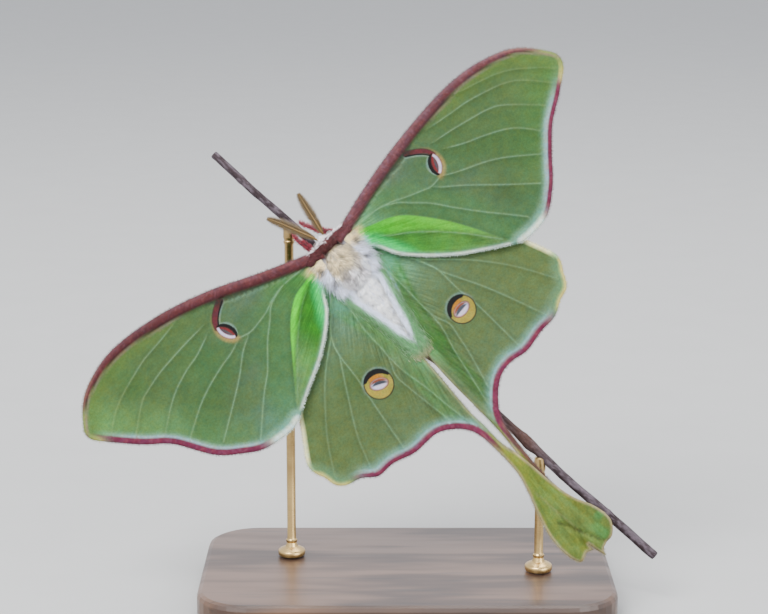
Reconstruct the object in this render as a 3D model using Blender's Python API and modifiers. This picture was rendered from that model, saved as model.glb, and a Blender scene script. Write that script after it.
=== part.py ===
"""Luna moth at life size, resting with its wings spread on a short cut twig.

The twig is the perch, and a small display stand with two rods holds it up.
The moth's own frame, used for every size below, is in millimetres: x is the
moth's right, y is toward its head and z is out of its back. The wings are
flat in that frame, and the whole moth is then turned and leaned back.
"""
import math

import bmesh
import bpy
from mathutils import Vector
from mathutils.geometry import delaunay_2d_cdt

MM = 0.001
GAP = 0.3

# How the moth stands in the world
LEAN_BACK = 12.0
TURN = 42.3

# Body, as centres and half sizes
THORAX_CENTRE = (0.0, -3.8, -1.0)
THORAX_HALF = (4.4, 4.9, 3.7)
PROTHORAX_CENTRE = (0.0, 0.8, -0.7)
PROTHORAX_HALF = (3.6, 1.0, 2.7)
HEAD_CENTRE = (-0.1, 1.7, -1.6)
HEAD_HALF = (1.8, 1.25, 1.6)
EYE_OFFSET = (1.5, 0.2, -0.15)
EYE_RADIUS = 0.7
PALP_ROOT = (0.42, 0.5, -0.6)
PALP_TIP = (0.5, 1.25, -1.6)
PALP_RADIUS = 0.34
PALP_TIP_RADIUS = 0.2
PALP_SIDES = 8
BODY_FACETS = (28, 16)
HEAD_FACETS = (24, 16)
EYE_FACETS = (16, 10)

# Abdomen sections from the thorax to its tip: y, half width, half depth, z
ABDOMEN_SECTIONS = (
    (-6.0, 3.2, 2.8, -2.0),
    (-9.0, 3.3, 2.7, -2.1),
    (-12.0, 3.1, 2.4, -2.3),
    (-15.0, 2.8, 2.1, -2.4),
    (-18.0, 2.4, 1.8, -2.5),
    (-21.0, 1.8, 1.4, -2.5),
    (-24.0, 1.1, 0.95, -2.4),
    (-25.6, 0.5, 0.45, -2.3),
)
ABDOMEN_RING_STEP = 1.0
ABDOMEN_SIDES = 24
SEGMENT_LENGTH = 3.0
SEGMENT_RELIEF = 0.12

# Angles in degrees beyond which an edge stays crisp
CRISP_SHAPE = 40.0
CRISP_CORNER = 50.0

# Wings
MEMBRANE = 0.5
VEIN_THICKNESS = 0.95
COSTA_THICKNESS = 1.15
VEIN_HALF_WIDTH = 0.5
COSTA_HALF_WIDTH = 1.0
EDGE_STEP = 2.4
VEIN_STEP = 2.4
FILL_STEP = 3.2
CLOSEST = 0.45
FILL_CLOSEST = 0.55
FILL_ROW_SHARE = 0.87
VEIN_TAPER = 0.4

# How the wings stand out of the moth's frame: the forewing arches along its span and
# sinks behind a line, the hindwing dips, ripples and lets its tail droop
FOREWING_ROOT_HEIGHT = 1.5
FOREWING_SPAN = 50.0
FOREWING_ARCH = 1.5
FOREWING_ARCH_END = 1.6
FOREWING_HINGE = (2.0, 0.2)
FOREWING_SINK = 0.0022
HINDWING_ROOT_HEIGHT = 0.2
HINDWING_DIP = 0.35
HINDWING_DIP_FROM_TO = (4.0, 22.0)
HINDWING_RIPPLE = 0.18
HINDWING_RIPPLE_TURN = (0.42, 0.22)
TAIL_PARTING = 0.75
TAIL_PARTS_FROM_TO = (37.0, 44.5)
TAIL_DROOP = 1.6
TAIL_DROOPS_FROM_TO = (50.0, 70.0)
UPPER_TAIL_DROOP_SHARE = 0.35

# Legs
FEMUR_RADIUS = 0.55
TIBIA_RADIUS = 0.42
TARSUS_RADIUS = 0.27
FEMUR_ENDS = (0.3, 0.5)
TIBIA_ENDS = (0.6, 0.8)
CLAW_SHARE = 0.6
LEG_STEP = 0.8

# Antennae
SHAFT_RADIUS = 0.27
SHAFT_TIP_RADIUS = 0.14
SHAFT_STEP = 0.9
RAY_PITCH = 0.66
RAY_LENGTH = 0.86
RAY_RADIUS = 0.25
RAY_TIP_RADIUS = 0.1
RAY_SWEEP = 52.0
RAYS_FROM = 0.24
RAYS_TO = 0.97
RAY_SIDES = 4
RAY_SHORTEST = 0.45
RAY_PEAK = 1.05

# Twig
TWIG_HEIGHT = -7.0
TWIG_TOP = (-4.1, 26.0)
TWIG_COURSE = (
    (-3.2, 16.0),
    (-2.3, 8.5),
    (-1.5, -2.0),
    (0.3, -22.0),
    (2.0, -41.0),
    (2.6, -47.5),
    (3.2, -56.0),
    (4.5, -67.0),
)
TWIG_END = (5.6, -77.0)
TWIG_RADIUS_TOP = 0.66
TWIG_RADIUS_END = 0.8
KNOT_Y = -47.5
KNOT_SWELL = 0.3
KNOT_LENGTH = 1.8
TWIG_STEP = 3.4
TWIG_ROUNDNESS = 3
LEG_ROUNDNESS = 2

# Display stand
BASE_TOP_BELOW_THORAX = 57.5
BASE_SIZE = (72.0, 44.0, 5.0)
BASE_CENTRE = (13.0, 3.0)
BASE_CORNER = 9.0
BASE_CORNER_STEPS = 8
BASE_EDGE = 0.9
BASE_EDGE_STEPS = 2
ROD_RADIUS = 0.8
ROD_CUP_RADIUS = 1.0
ROD_FOOT_RADIUS = 2.4
ROD_FOOT_HEIGHT = 1.1
ROD_FOOT_NECK = 0.9
ROD_FOOT_SLOPE = 0.5
ROD_FOOT_EDGE = 0.4
ROD_TOP_BELOW_TWIG = 0.5
ROD_CUP_DEPTH = 2.6
ROD_CUP_TAPER = 0.8
ROD_SIDES = 20
ROD_UPPER_AT_Y = 8.6
ROD_LOWER_AT_Y = -50.5

# Right wings, in stretches between corners
FOREWING_RIGHT = (
    ((1.2, 0.9), (4.0, 1.7), (12.0, 3.9), (20.0, 5.55), (28.0, 6.65),
     (34.0, 6.95), (40.0, 6.2), (46.0, 3.7), (50.9, -1.9)),
    ((50.9, -1.9), (49.5, -4.0), (46.0, -6.8), (42.0, -9.6), (38.6, -13.2),
     (35.1, -17.3), (31.0, -20.5), (27.0, -21.2), (24.8, -21.1)),
    ((24.8, -21.1), (20.0, -18.4), (14.0, -14.5), (8.2, -9.0), (5.5, -4.5),
     (2.2, -2.6)),
)
FOREWING_LEFT = (
    ((1.2, 0.9), (4.0, 1.9), (12.0, 5.0), (20.0, 8.4), (28.0, 10.8),
     (36.0, 12.0), (42.0, 11.65), (48.0, 9.2), (52.5, 4.2)),
    ((52.5, 4.2), (50.4, 1.6), (46.0, -3.1), (42.0, -6.7), (38.2, -12.6),
     (34.5, -15.7), (31.0, -17.7), (26.0, -18.35), (23.7, -17.9)),
    ((23.7, -17.9), (19.0, -15.3), (13.0, -12.1), (8.0, -8.0), (5.3, -4.0),
     (2.2, -2.4)),
)
HINDWING_RIGHT = (
    ((2.2, -3.2), (8.0, -4.6), (14.0, -8.2), (19.5, -13.2), (24.0, -18.6),
     (26.2, -23.0), (28.0, -27.4)),
    ((28.0, -27.4), (26.8, -29.0), (25.2, -31.8), (23.0, -32.7), (20.2, -34.2),
     (17.0, -34.5), (13.0, -35.3), (9.5, -34.9), (6.6, -35.6), (3.8, -38.0),
     (1.9, -41.0), (1.3, -44.5), (1.0, -49.0), (0.9, -53.0), (1.1, -57.0),
     (2.0, -60.5), (2.7, -64.0)),
    ((2.7, -64.0), (2.2, -66.3), (0.8, -67.6), (-0.9, -67.8), (-2.8, -67.0),
     (-3.9, -64.5)),
    ((-3.9, -64.5), (-3.5, -61.0), (-2.4, -56.0), (-1.4, -52.0), (-0.3, -48.0),
     (0.15, -44.5), (0.2, -40.0), (-0.2, -32.0), (-0.2, -26.0), (0.5, -20.0),
     (1.6, -14.0), (3.0, -8.5), (2.7, -6.2)),
)
HINDWING_LEFT = (
    ((2.2, -3.2), (8.0, -4.4), (14.0, -7.6), (19.0, -12.0), (22.3, -16.0),
     (25.0, -20.2), (27.7, -24.4), (28.2, -26.4)),
    ((28.2, -26.4), (27.2, -27.6), (26.6, -30.1), (25.3, -31.5), (22.5, -32.4),
     (20.0, -34.1), (16.8, -34.2), (12.8, -35.3), (8.0, -35.4), (4.9, -37.1),
     (3.0, -39.6), (2.35, -43.0), (2.2, -49.0), (3.0, -52.8), (4.3, -56.8),
     (5.4, -61.0), (5.6, -64.0)),
    ((5.6, -64.0), (5.3, -66.3), (4.4, -68.0), (2.9, -67.5), (1.6, -67.9)),
    ((1.6, -67.9), (1.45, -66.6), (1.2, -68.0), (0.6, -69.9)),
    ((0.6, -69.9), (0.0, -68.8), (-2.3, -68.3), (-4.0, -66.5), (-4.2, -64.5)),
    ((-4.2, -64.5), (-3.5, -62.1), (-1.8, -58.4), (-0.95, -54.4), (-0.4, -50.0),
     (0.1, -47.0), (0.9, -44.0), (1.1, -40.0), (1.3, -36.0), (1.0, -28.0),
     (0.9, -20.0), (1.7, -14.0), (3.0, -8.5), (2.7, -6.2)),
)

# Main veins, root to margin
FOREWING_VEINS_RIGHT = (
    ((3.0, 0.3), (6.0, -0.2), (10.0, -0.5), (13.0, -1.3), (15.3, -2.3), (17.7, -3.2),
     (19.5, -3.8), (21.7, -3.6)),
    ((10.0, -0.5), (13.0, -1.7), (15.3, -3.7), (17.7, -6.0), (20.0, -9.0), (23.3, -13.0),
     (26.0, -16.0), (28.2, -18.5)),
    ((19.5, -3.8), (20.7, -5.0), (23.3, -7.0), (26.0, -9.3), (28.7, -11.7), (33.6, -15.8)),
    ((21.7, -3.6), (25.3, -5.3), (28.7, -6.7), (32.0, -8.5), (37.0, -12.2)),
    ((25.3, -0.5), (28.7, -2.2), (32.0, -3.5), (35.5, -5.2), (37.7, -7.0), (39.5, -9.2)),
    ((24.5, 1.5), (28.0, 1.0), (32.0, 0.2), (35.3, -0.6), (38.0, -2.0), (43.4, -6.9)),
    ((25.5, 3.8), (29.7, 3.2), (33.7, 2.7), (37.3, 1.8), (40.3, 0.8), (43.0, -0.9), (46.7, -4.8)),
    ((33.0, 5.0), (41.0, 2.6), (46.0, -0.8), (48.6, -3.3)),
    ((7.0, -3.6), (8.5, -5.0), (12.0, -7.4), (15.2, -10.2), (18.2, -13.3), (21.2, -16.9),
     (22.5, -18.5)),
)
FOREWING_VEINS_LEFT = (
    ((3.0, 0.5), (6.0, 0.6), (10.0, 0.7), (13.0, 0.2), (15.3, -0.7), (17.7, -1.2),
     (19.7, -1.4), (21.7, -0.9)),
    ((10.0, 0.7), (13.7, -0.3), (16.0, -2.3), (18.7, -4.7), (22.0, -8.3), (25.3, -11.0),
     (30.6, -16.0)),
    ((19.7, -1.4), (22.7, -3.0), (26.0, -5.7), (29.3, -8.0), (35.4, -12.0)),
    ((21.7, -0.9), (24.5, -1.9), (27.3, -2.5), (31.3, -3.7), (34.7, -5.2), (39.5, -8.0)),
    ((25.0, 3.3), (28.7, 1.8), (32.0, 1.0), (35.3, -0.2), (38.0, -1.7), (42.0, -4.6)),
    ((24.5, 4.7), (28.7, 4.5), (32.0, 4.2), (35.3, 3.8), (38.7, 3.0), (41.3, 2.0), (46.0, -1.6)),
    ((27.5, 8.4), (32.0, 7.7), (36.0, 7.2), (39.3, 6.3), (42.7, 5.2), (45.7, 3.8), (48.9, 1.4)),
    ((7.2, -2.3), (10.0, -3.9), (13.2, -6.5), (16.3, -9.5), (19.3, -12.8), (22.4, -16.3)),
)
HINDWING_VEINS_RIGHT = (
    ((4.5, -5.3), (7.0, -7.2), (9.2, -10.9), (10.3, -13.2), (11.0, -15.3), (11.3, -20.0),
     (11.9, -24.0), (12.2, -28.5), (12.5, -34.4)),
    ((11.0, -15.3), (12.7, -18.4), (14.8, -22.3), (16.9, -26.9), (19.4, -33.0)),
    ((9.2, -10.9), (15.2, -16.5), (18.0, -19.5), (20.5, -22.6), (22.6, -25.8), (25.1, -30.0)),
    ((4.0, -7.5), (4.7, -12.0), (5.0, -19.5), (6.2, -23.0), (5.9, -25.8), (5.4, -29.0),
     (3.8, -35.8)),
    ((5.0, -19.5), (4.8, -23.0), (3.8, -27.0), (3.1, -31.0), (2.0, -37.0), (0.75, -43.0),
     (0.3, -48.0), (-0.3, -54.0), (-0.7, -60.0), (-0.7, -66.0)),
)
HINDWING_VEINS_LEFT = (
    ((4.5, -5.3), (7.6, -8.2), (10.1, -11.2), (11.2, -14.2), (11.6, -19.0), (12.3, -23.4),
     (12.9, -27.6), (13.8, -34.3)),
    ((11.3, -14.6), (13.8, -18.8), (16.2, -23.0), (18.4, -27.2), (20.4, -33.0)),
    ((10.1, -11.2), (13.4, -13.7), (16.9, -17.0), (20.8, -21.6), (23.3, -25.1), (26.0, -29.8)),
    ((4.0, -7.5), (5.1, -13.5), (5.2, -19.8), (6.4, -23.4), (6.1, -27.0), (4.7, -35.6)),
    ((5.2, -19.8), (5.0, -23.4), (4.1, -28.0), (3.3, -33.2), (2.5, -38.0), (1.7, -42.0),
     (1.2, -47.0), (1.2, -52.0), (1.6, -58.0), (0.9, -66.5)),
)

# Leg courses from inside the body to the twig, for the moth's right and left
LEG_COURSES = {
    "foreleg_right": ((1.3, 1.0, -2.0), (2.1, 1.5, -4.2), (0.7, 3.7, -4.9),
                      (-0.4, 5.7, -5.65), (-1.1, 7.2, -6.1)),
    "foreleg_left": ((-1.5, 1.0, -2.0), (-2.5, 1.6, -4.2), (-3.0, 3.6, -4.9),
                     (-3.4, 5.2, -5.7), (-3.15, 6.3, -6.4)),
    "midleg_right": ((1.6, -2.6, -3.0), (4.3, -1.6, -5.0), (2.4, 0.2, -6.0),
                     (0.3, 1.2, -6.6), (-0.4, 2.1, -7.0)),
    "midleg_left": ((-1.6, -2.6, -3.0), (-4.5, -1.6, -5.0), (-3.9, 0.2, -6.0),
                    (-3.2, 1.0, -6.6), (-3.05, 2.0, -7.1)),
    "hindleg_right": ((2.0, -4.6, -2.8), (4.9, -6.6, -5.2), (3.7, -9.4, -6.3),
                      (1.8, -11.2, -6.9), (0.85, -12.2, -7.2)),
    "hindleg_left": ((-2.0, -4.6, -2.8), (-4.9, -6.6, -5.2), (-4.1, -9.4, -6.3),
                     (-2.6, -11.2, -6.9), (-1.85, -12.2, -7.2)),
}

# Antenna courses from inside the head to the tip
ANTENNA_COURSES = {
    "antenna_right": ((0.5, 2.2, -1.3), (0.75, 3.6, -0.7), (1.1, 5.4, -0.3),
                      (1.6, 8.2, -0.1), (2.1, 10.7, -0.2)),
    "antenna_left": ((-0.7, 2.2, -1.3), (-1.2, 3.6, -0.7), (-2.1, 5.6, -0.3),
                     (-3.4, 8.6, -0.1), (-4.7, 11.1, -0.2)),
}

COLOURS = {
    "head": ((0.75, 0.72, 0.76), 0.9, 0.0),
    "eye": ((0.05, 0.03, 0.03), 0.25, 0.0),
    "antenna": ((0.36, 0.25, 0.08), 0.7, 0.0),
    "prothorax": ((0.22, 0.05, 0.07), 0.9, 0.0),
    "thorax": ((0.78, 0.76, 0.78), 0.95, 0.0),
    "abdomen": ((0.80, 0.78, 0.76), 0.95, 0.0),
    "forewing": ((0.20, 0.34, 0.16), 0.75, 0.0),
    "hindwing": ((0.22, 0.36, 0.16), 0.75, 0.0),
    "leg": ((0.36, 0.04, 0.06), 0.8, 0.0),
    "twig": ((0.11, 0.07, 0.07), 0.85, 0.0),
    "wood": ((0.09, 0.045, 0.025), 0.35, 0.0),
    "brass": ((0.62, 0.45, 0.2), 0.3, 1.0),
}


def material(kind):
    """The named finish, made once."""
    found = bpy.data.materials.get(kind)
    if found:
        return found
    colour, roughness, metallic = COLOURS[kind]
    made = bpy.data.materials.new(kind)
    made.use_nodes = True
    shader = made.node_tree.nodes["Principled BSDF"]
    shader.inputs["Base Color"].default_value = (*colour, 1.0)
    shader.inputs["Roughness"].default_value = roughness
    shader.inputs["Metallic"].default_value = metallic
    return made


def mesh_of(name, bm):
    """A mesh in metres from one built in millimetres."""
    bmesh.ops.scale(bm, vec=(MM, MM, MM), verts=bm.verts)
    mesh = bpy.data.meshes.new(name)
    bm.to_mesh(mesh)
    bm.free()
    return mesh


def part(name, mesh, kind, parent):
    """One node of the moth or its stand."""
    obj = bpy.data.objects.new(name, mesh)
    parts.objects.link(obj)
    obj.parent = parent
    mesh.materials.clear()
    mesh.materials.append(material(kind))
    mesh.shade_smooth()
    mesh.set_sharp_from_angle(angle=math.radians(CRISP_SHAPE))
    return obj


def cutter(name, mesh, parent):
    """A hidden body that others are cut clear of."""
    obj = bpy.data.objects.new(name, mesh)
    cutters.objects.link(obj)
    obj.parent = parent
    obj.hide_render = True
    obj.display_type = "WIRE"
    return obj


def cut_clear(obj, *tools):
    """Cut the object back from each of the hidden bodies."""
    for tool in tools:
        cut = obj.modifiers.new("clear_of_" + tool.name, "BOOLEAN")
        cut.operation = "DIFFERENCE"
        cut.solver = "EXACT"
        cut.object = tool


def ellipsoid(name, centre, half, grow=0.0, facets=BODY_FACETS):
    """A round body, a little larger all round for a cutter."""
    bm = bmesh.new()
    bmesh.ops.create_uvsphere(bm, u_segments=facets[0], v_segments=facets[1], radius=1.0)
    size = [h + grow for h in half]
    bmesh.ops.scale(bm, vec=size, verts=bm.verts)
    bmesh.ops.translate(bm, vec=centre, verts=bm.verts)
    return mesh_of(name, bm)


def smooth_line(points, step):
    """Points about a step apart on a smooth curve through the given ones."""
    knots = [Vector(p) for p in points]
    ends = [2 * knots[0] - knots[1], *knots, 2 * knots[-1] - knots[-2]]
    line = []
    for before, start, stop, after in zip(ends, ends[1:], ends[2:], ends[3:]):
        pieces = max(1, round((stop - start).length / step))
        for i in range(pieces):
            t = i / pieces
            curve = (
                2 * start
                + (stop - before) * t
                + (2 * before - 5 * start + 4 * stop - after) * t * t
                + (3 * start - before - 3 * stop + after) * t * t * t
            )
            line.append(curve / 2)
    line.append(knots[-1])
    return line


def blend(low, high, value):
    """0 below low, 1 above high and a smooth rise between."""
    t = min(1.0, max(0.0, (value - low) / (high - low)))
    return t * t * (3 - 2 * t)


def tube(name, points, radii, roundness=LEG_ROUNDNESS):
    """A closed round tube with a radius at each of its points."""
    curve = bpy.data.curves.new(name, "CURVE")
    curve.dimensions = "3D"
    curve.bevel_depth = MM
    curve.bevel_resolution = roundness
    curve.use_fill_caps = True
    spline = curve.splines.new("POLY")
    spline.points.add(len(points) - 1)
    for control, place, radius in zip(spline.points, points, radii):
        control.co = (*(Vector(place) * MM), 1.0)
        control.radius = radius
    guide = bpy.data.objects.new(name + "_course", curve)
    cutters.objects.link(guide)
    graph = bpy.context.evaluated_depsgraph_get()
    mesh = bpy.data.meshes.new_from_object(guide.evaluated_get(graph))
    bpy.data.objects.remove(guide)
    bm = bmesh.new()
    bm.from_mesh(mesh)
    bmesh.ops.remove_doubles(bm, verts=bm.verts, dist=MM * 0.001)
    bmesh.ops.recalc_face_normals(bm, faces=bm.faces)
    bm.to_mesh(mesh)
    bm.free()
    return mesh


def keep_largest(mesh):
    """Leave only the mesh's largest closed surface."""
    bm = bmesh.new()
    bm.from_mesh(mesh)
    left = set(bm.faces)
    largest = []
    while left:
        found = [left.pop()]
        for face in found:
            for edge in face.edges:
                for other in edge.link_faces:
                    if other in left:
                        left.remove(other)
                        found.append(other)
        if sum(f.calc_area() for f in found) > sum(f.calc_area() for f in largest):
            largest = found
    loose = [f for f in bm.faces if f not in set(largest)]
    bmesh.ops.delete(bm, geom=loose, context="FACES")
    bm.to_mesh(mesh)
    bm.free()


def fuse(obj, pieces):
    """Join closed pieces to an object as one closed surface."""
    group = bpy.data.collections.new(obj.name + "_pieces")
    cutters.children.link(group)
    for piece in pieces:
        group.objects.link(piece)
        piece.parent = obj.parent
    union = obj.modifiers.new("fused", "BOOLEAN")
    union.operation = "UNION"
    union.operand_type = "COLLECTION"
    union.collection = group
    union.solver = "EXACT"
    bpy.context.view_layer.update()
    graph = bpy.context.evaluated_depsgraph_get()
    joined = bpy.data.meshes.new_from_object(obj.evaluated_get(graph))
    obj.modifiers.remove(union)
    obj.data = joined
    for piece in pieces:
        bpy.data.objects.remove(piece)
    bpy.data.collections.remove(group)
    keep_largest(joined)
    joined.shade_smooth()
    joined.set_sharp_from_angle(angle=math.radians(CRISP_SHAPE))


def taper(name, root, tip, root_radius, tip_radius, sides):
    """A closed tapered rod of few sides between two places."""
    bm = bmesh.new()
    along = Vector(tip) - Vector(root)
    bmesh.ops.create_cone(bm, cap_ends=True, segments=sides, radius1=root_radius,
                          radius2=tip_radius, depth=along.length)
    turn = along.to_track_quat("Z", "Y").to_matrix()
    bmesh.ops.rotate(bm, matrix=turn, verts=bm.verts)
    bmesh.ops.translate(bm, vec=(Vector(root) + Vector(tip)) / 2, verts=bm.verts)
    return bpy.data.objects.new(name, mesh_of(name, bm))


def loft(name, sections, sides, grow=0.0):
    """A closed body from oval sections across y, with its ends rounded off."""
    bm = bmesh.new()
    rings = []
    for y, wide, deep, height in sections:
        ring = []
        for i in range(sides):
            angle = 2 * math.pi * i / sides
            x = (wide + grow) * math.cos(angle)
            z = height + (deep + grow) * math.sin(angle)
            ring.append(bm.verts.new((x, y, z)))
        rings.append(ring)
    for ring, following in zip(rings, rings[1:]):
        for i in range(sides):
            j = (i + 1) % sides
            bm.faces.new((ring[i], following[i], following[j], ring[j]))
    for ring in (rings[0], rings[-1]):
        bm.faces.new(ring)
    bmesh.ops.recalc_face_normals(bm, faces=bm.faces)
    return mesh_of(name, bm)


def make_moth_body(frame):
    """Head, eyes, prothorax, thorax and abdomen, with their cutters."""
    thorax_cut = cutter(
        "thorax_cutter", ellipsoid("thorax_cutter", THORAX_CENTRE, THORAX_HALF, GAP), frame)
    prothorax_cut = cutter(
        "prothorax_cutter",
        ellipsoid("prothorax_cutter", PROTHORAX_CENTRE, PROTHORAX_HALF, GAP), frame)
    head_cut = cutter(
        "head_cutter", ellipsoid("head_cutter", HEAD_CENTRE, HEAD_HALF, GAP), frame)

    part("prothorax", ellipsoid("prothorax", PROTHORAX_CENTRE, PROTHORAX_HALF),
         "prothorax", frame)
    thorax = part("thorax", ellipsoid("thorax", THORAX_CENTRE, THORAX_HALF), "thorax", frame)
    cut_clear(thorax, prothorax_cut)

    head = part("head", ellipsoid("head", HEAD_CENTRE, HEAD_HALF, 0.0, HEAD_FACETS), "head", frame)
    palps = []
    for sign in (1, -1):
        root, tip = (Vector(HEAD_CENTRE) + Vector((sign * p[0], p[1], p[2]))
                     for p in (PALP_ROOT, PALP_TIP))
        palps.append(taper("palp", root, tip, PALP_RADIUS, PALP_TIP_RADIUS, PALP_SIDES))
    fuse(head, palps)
    cut_clear(head, prothorax_cut)
    for side, sign in (("right", 1), ("left", -1)):
        centre = Vector(HEAD_CENTRE) + Vector(
            (sign * EYE_OFFSET[0], EYE_OFFSET[1], EYE_OFFSET[2]))
        ball = (EYE_RADIUS, EYE_RADIUS, EYE_RADIUS)
        eye = part("eye_" + side, ellipsoid("eye_" + side, centre, ball, 0.0, EYE_FACETS),
                   "eye", frame)
        socket = cutter("eye_cutter_" + side,
                        ellipsoid("eye_cutter_" + side, centre, ball, GAP, EYE_FACETS), frame)
        cut_clear(head, socket)
        cut_clear(eye, prothorax_cut)

    sections = []
    station = ABDOMEN_SECTIONS[0][0]
    end = ABDOMEN_SECTIONS[-1][0]
    while station > end:
        sections.append(abdomen_section(station))
        station -= ABDOMEN_RING_STEP
    sections.append(ABDOMEN_SECTIONS[-1])
    abdomen = part("abdomen", loft("abdomen", sections, ABDOMEN_SIDES), "abdomen", frame)
    cut_clear(abdomen, thorax_cut)
    return thorax_cut, prothorax_cut, head_cut


def abdomen_section(y):
    """The oval at one place along the abdomen, with its ring of relief."""
    for near, far in zip(ABDOMEN_SECTIONS, ABDOMEN_SECTIONS[1:]):
        if y >= far[0]:
            break
    t = (near[0] - y) / (near[0] - far[0])
    wide, deep, height = (near[k] + (far[k] - near[k]) * t for k in (1, 2, 3))
    ring = abs(math.sin(math.pi * (y - ABDOMEN_SECTIONS[0][0]) / SEGMENT_LENGTH))
    relief = SEGMENT_RELIEF * (ring - 1)
    return y, wide + relief, deep + relief, height


def forewing_height(x, y):
    """How far the forewing stands out over the moth's frame at a place."""
    span = x / FOREWING_SPAN
    arch = FOREWING_ARCH * span * (FOREWING_ARCH_END - span)
    behind = max(0.0, FOREWING_HINGE[0] + FOREWING_HINGE[1] * x - y)
    return FOREWING_ROOT_HEIGHT + arch - FOREWING_SINK * behind * behind


def hindwing_height(x, y, sign):
    """The same for the hindwing, whose tails part to cross each other."""
    spread = blend(*HINDWING_DIP_FROM_TO, x)
    turn = HINDWING_RIPPLE_TURN[0] * x + HINDWING_RIPPLE_TURN[1] * y
    ripple = HINDWING_RIPPLE * math.sin(turn)
    parting = sign * TAIL_PARTING * blend(*TAIL_PARTS_FROM_TO, -y)
    droop = TAIL_DROOP * blend(*TAIL_DROOPS_FROM_TO, -y)
    if sign > 0:
        droop *= UPPER_TAIL_DROOP_SHARE
    return HINDWING_ROOT_HEIGHT + (ripple - HINDWING_DIP) * spread + parting - droop


def inside(point, outline):
    """Whether a point lies within a closed outline."""
    x, y = point
    within = False
    for (x1, y1), (x2, y2) in zip(outline, outline[1:] + outline[:1]):
        if (y1 > y) != (y2 > y) and x < x1 + (x2 - x1) * (y - y1) / (y2 - y1):
            within = not within
    return within


def distance(point, start, stop):
    """The distance from a point to a straight piece, and how far along."""
    along = stop - start
    t = min(1.0, max(0.0, (point - start).dot(along) / along.length_squared))
    return (point - start - along * t).length, t


def edge_distance(point, outline):
    """The distance from a point to the nearest side of an outline."""
    sides = zip(outline, outline[1:] + outline[:1])
    return min(distance(point, a, b)[0] for a, b in sides)


def wing_outline(stretches):
    """A closed outline of smooth stretches that meet at corners."""
    outline = []
    for stretch in stretches:
        outline.extend(smooth_line(stretch, EDGE_STEP)[:-1])
    outline.append(Vector(stretches[-1][-1]))
    return outline


def offset_line(line, across):
    """The same line moved sideways."""
    moved = []
    for i, point in enumerate(line):
        ahead = line[min(i + 1, len(line) - 1)] - line[max(i - 1, 0)]
        moved.append(point + Vector((-ahead.y, ahead.x)).normalized() * across)
    return moved


def wing(name, stretches, veins, costa, height, sign, kind, frame):
    """A wing: one membrane, with its veins raised in its own surface."""
    outline = wing_outline(stretches)
    points = list(outline)
    rim = list(range(len(outline)))
    ridges = []
    if costa:
        edge = smooth_line(stretches[0], VEIN_STEP)
        ridges.append((offset_line(edge[1:-1], -COSTA_HALF_WIDTH), COSTA_HALF_WIDTH,
                       COSTA_THICKNESS))
    for vein in veins:
        ridges.append((smooth_line(vein, VEIN_STEP), VEIN_HALF_WIDTH, VEIN_THICKNESS))

    def add(point, least):
        if not inside(point, outline) or edge_distance(point, outline) < least:
            return None
        for i in range(len(points)):
            if (points[i] - point).length < least:
                return i
        points.append(point)
        return len(points) - 1

    creases = []
    for line, _, _ in ridges:
        chain = [add(point, CLOSEST) for point in line]
        chain = [i for i in chain if i is not None]
        creases.extend((a, b) for a, b in zip(chain, chain[1:]) if a != b)
    for line, half_width, _ in ridges:
        for across in (-half_width, half_width):
            for point in offset_line(line, across):
                add(point, CLOSEST)
    low = Vector((min(p.x for p in outline), min(p.y for p in outline)))
    high = Vector((max(p.x for p in outline), max(p.y for p in outline)))
    row = 0
    y = low.y
    while y < high.y:
        x = low.x + (FILL_STEP / 2 if row % 2 else 0.0)
        while x < high.x:
            add(Vector((x, y)), FILL_STEP * FILL_CLOSEST)
            x += FILL_STEP
        y += FILL_STEP * FILL_ROW_SHARE
        row += 1

    flat, _, faces, _, _, _ = delaunay_2d_cdt(points, creases, [rim], 1, 1e-5)
    bm = bmesh.new()
    verts = [bm.verts.new((sign * p.x, p.y, height(p.x, p.y))) for p in flat]
    for face in faces:
        order = face if sign > 0 else reversed(face)
        bm.faces.new([verts[i] for i in order])
    bmesh.ops.recalc_face_normals(bm, faces=bm.faces)
    mesh = mesh_of(name, bm)
    obj = part(name, mesh, kind, frame)

    thickest = COSTA_THICKNESS
    group = obj.vertex_groups.new(name="thickness")
    for i, point in enumerate(flat):
        thick = MEMBRANE
        for line, half_width, crest in ridges:
            for k, (a, b) in enumerate(zip(line, line[1:])):
                away, t = distance(point, a, b)
                taper = 1 - VEIN_TAPER * (k + t) / len(line)
                rise = (crest - MEMBRANE) * taper * (1 - away / half_width)
                thick = max(thick, MEMBRANE + rise)
        group.add([i], thick / thickest, "REPLACE")
    shell = obj.modifiers.new("membrane", "SOLIDIFY")
    shell.thickness = thickest * MM
    shell.offset = 0.0
    shell.vertex_group = group.name
    shell.use_even_offset = False
    return obj


def make_wings(frame, body_cutters):
    """The four wings, cut clear of the body at their roots."""
    wings = []
    for side, sign, outline, veins in (
            ("right", 1, FOREWING_RIGHT, FOREWING_VEINS_RIGHT),
            ("left", -1, FOREWING_LEFT, FOREWING_VEINS_LEFT)):
        wings.append(wing("forewing_" + side, outline, veins, True, forewing_height,
                          sign, "forewing", frame))
    for side, sign, outline, veins in (
            ("right", 1, HINDWING_RIGHT, HINDWING_VEINS_RIGHT),
            ("left", -1, HINDWING_LEFT, HINDWING_VEINS_LEFT)):
        lift = -sign

        def height(x, y, lift=lift):
            return hindwing_height(x, y, lift)

        wings.append(wing("hindwing_" + side, outline, veins, False, height,
                          sign, "hindwing", frame))
    for made in wings:
        cut_clear(made, *body_cutters)


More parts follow.
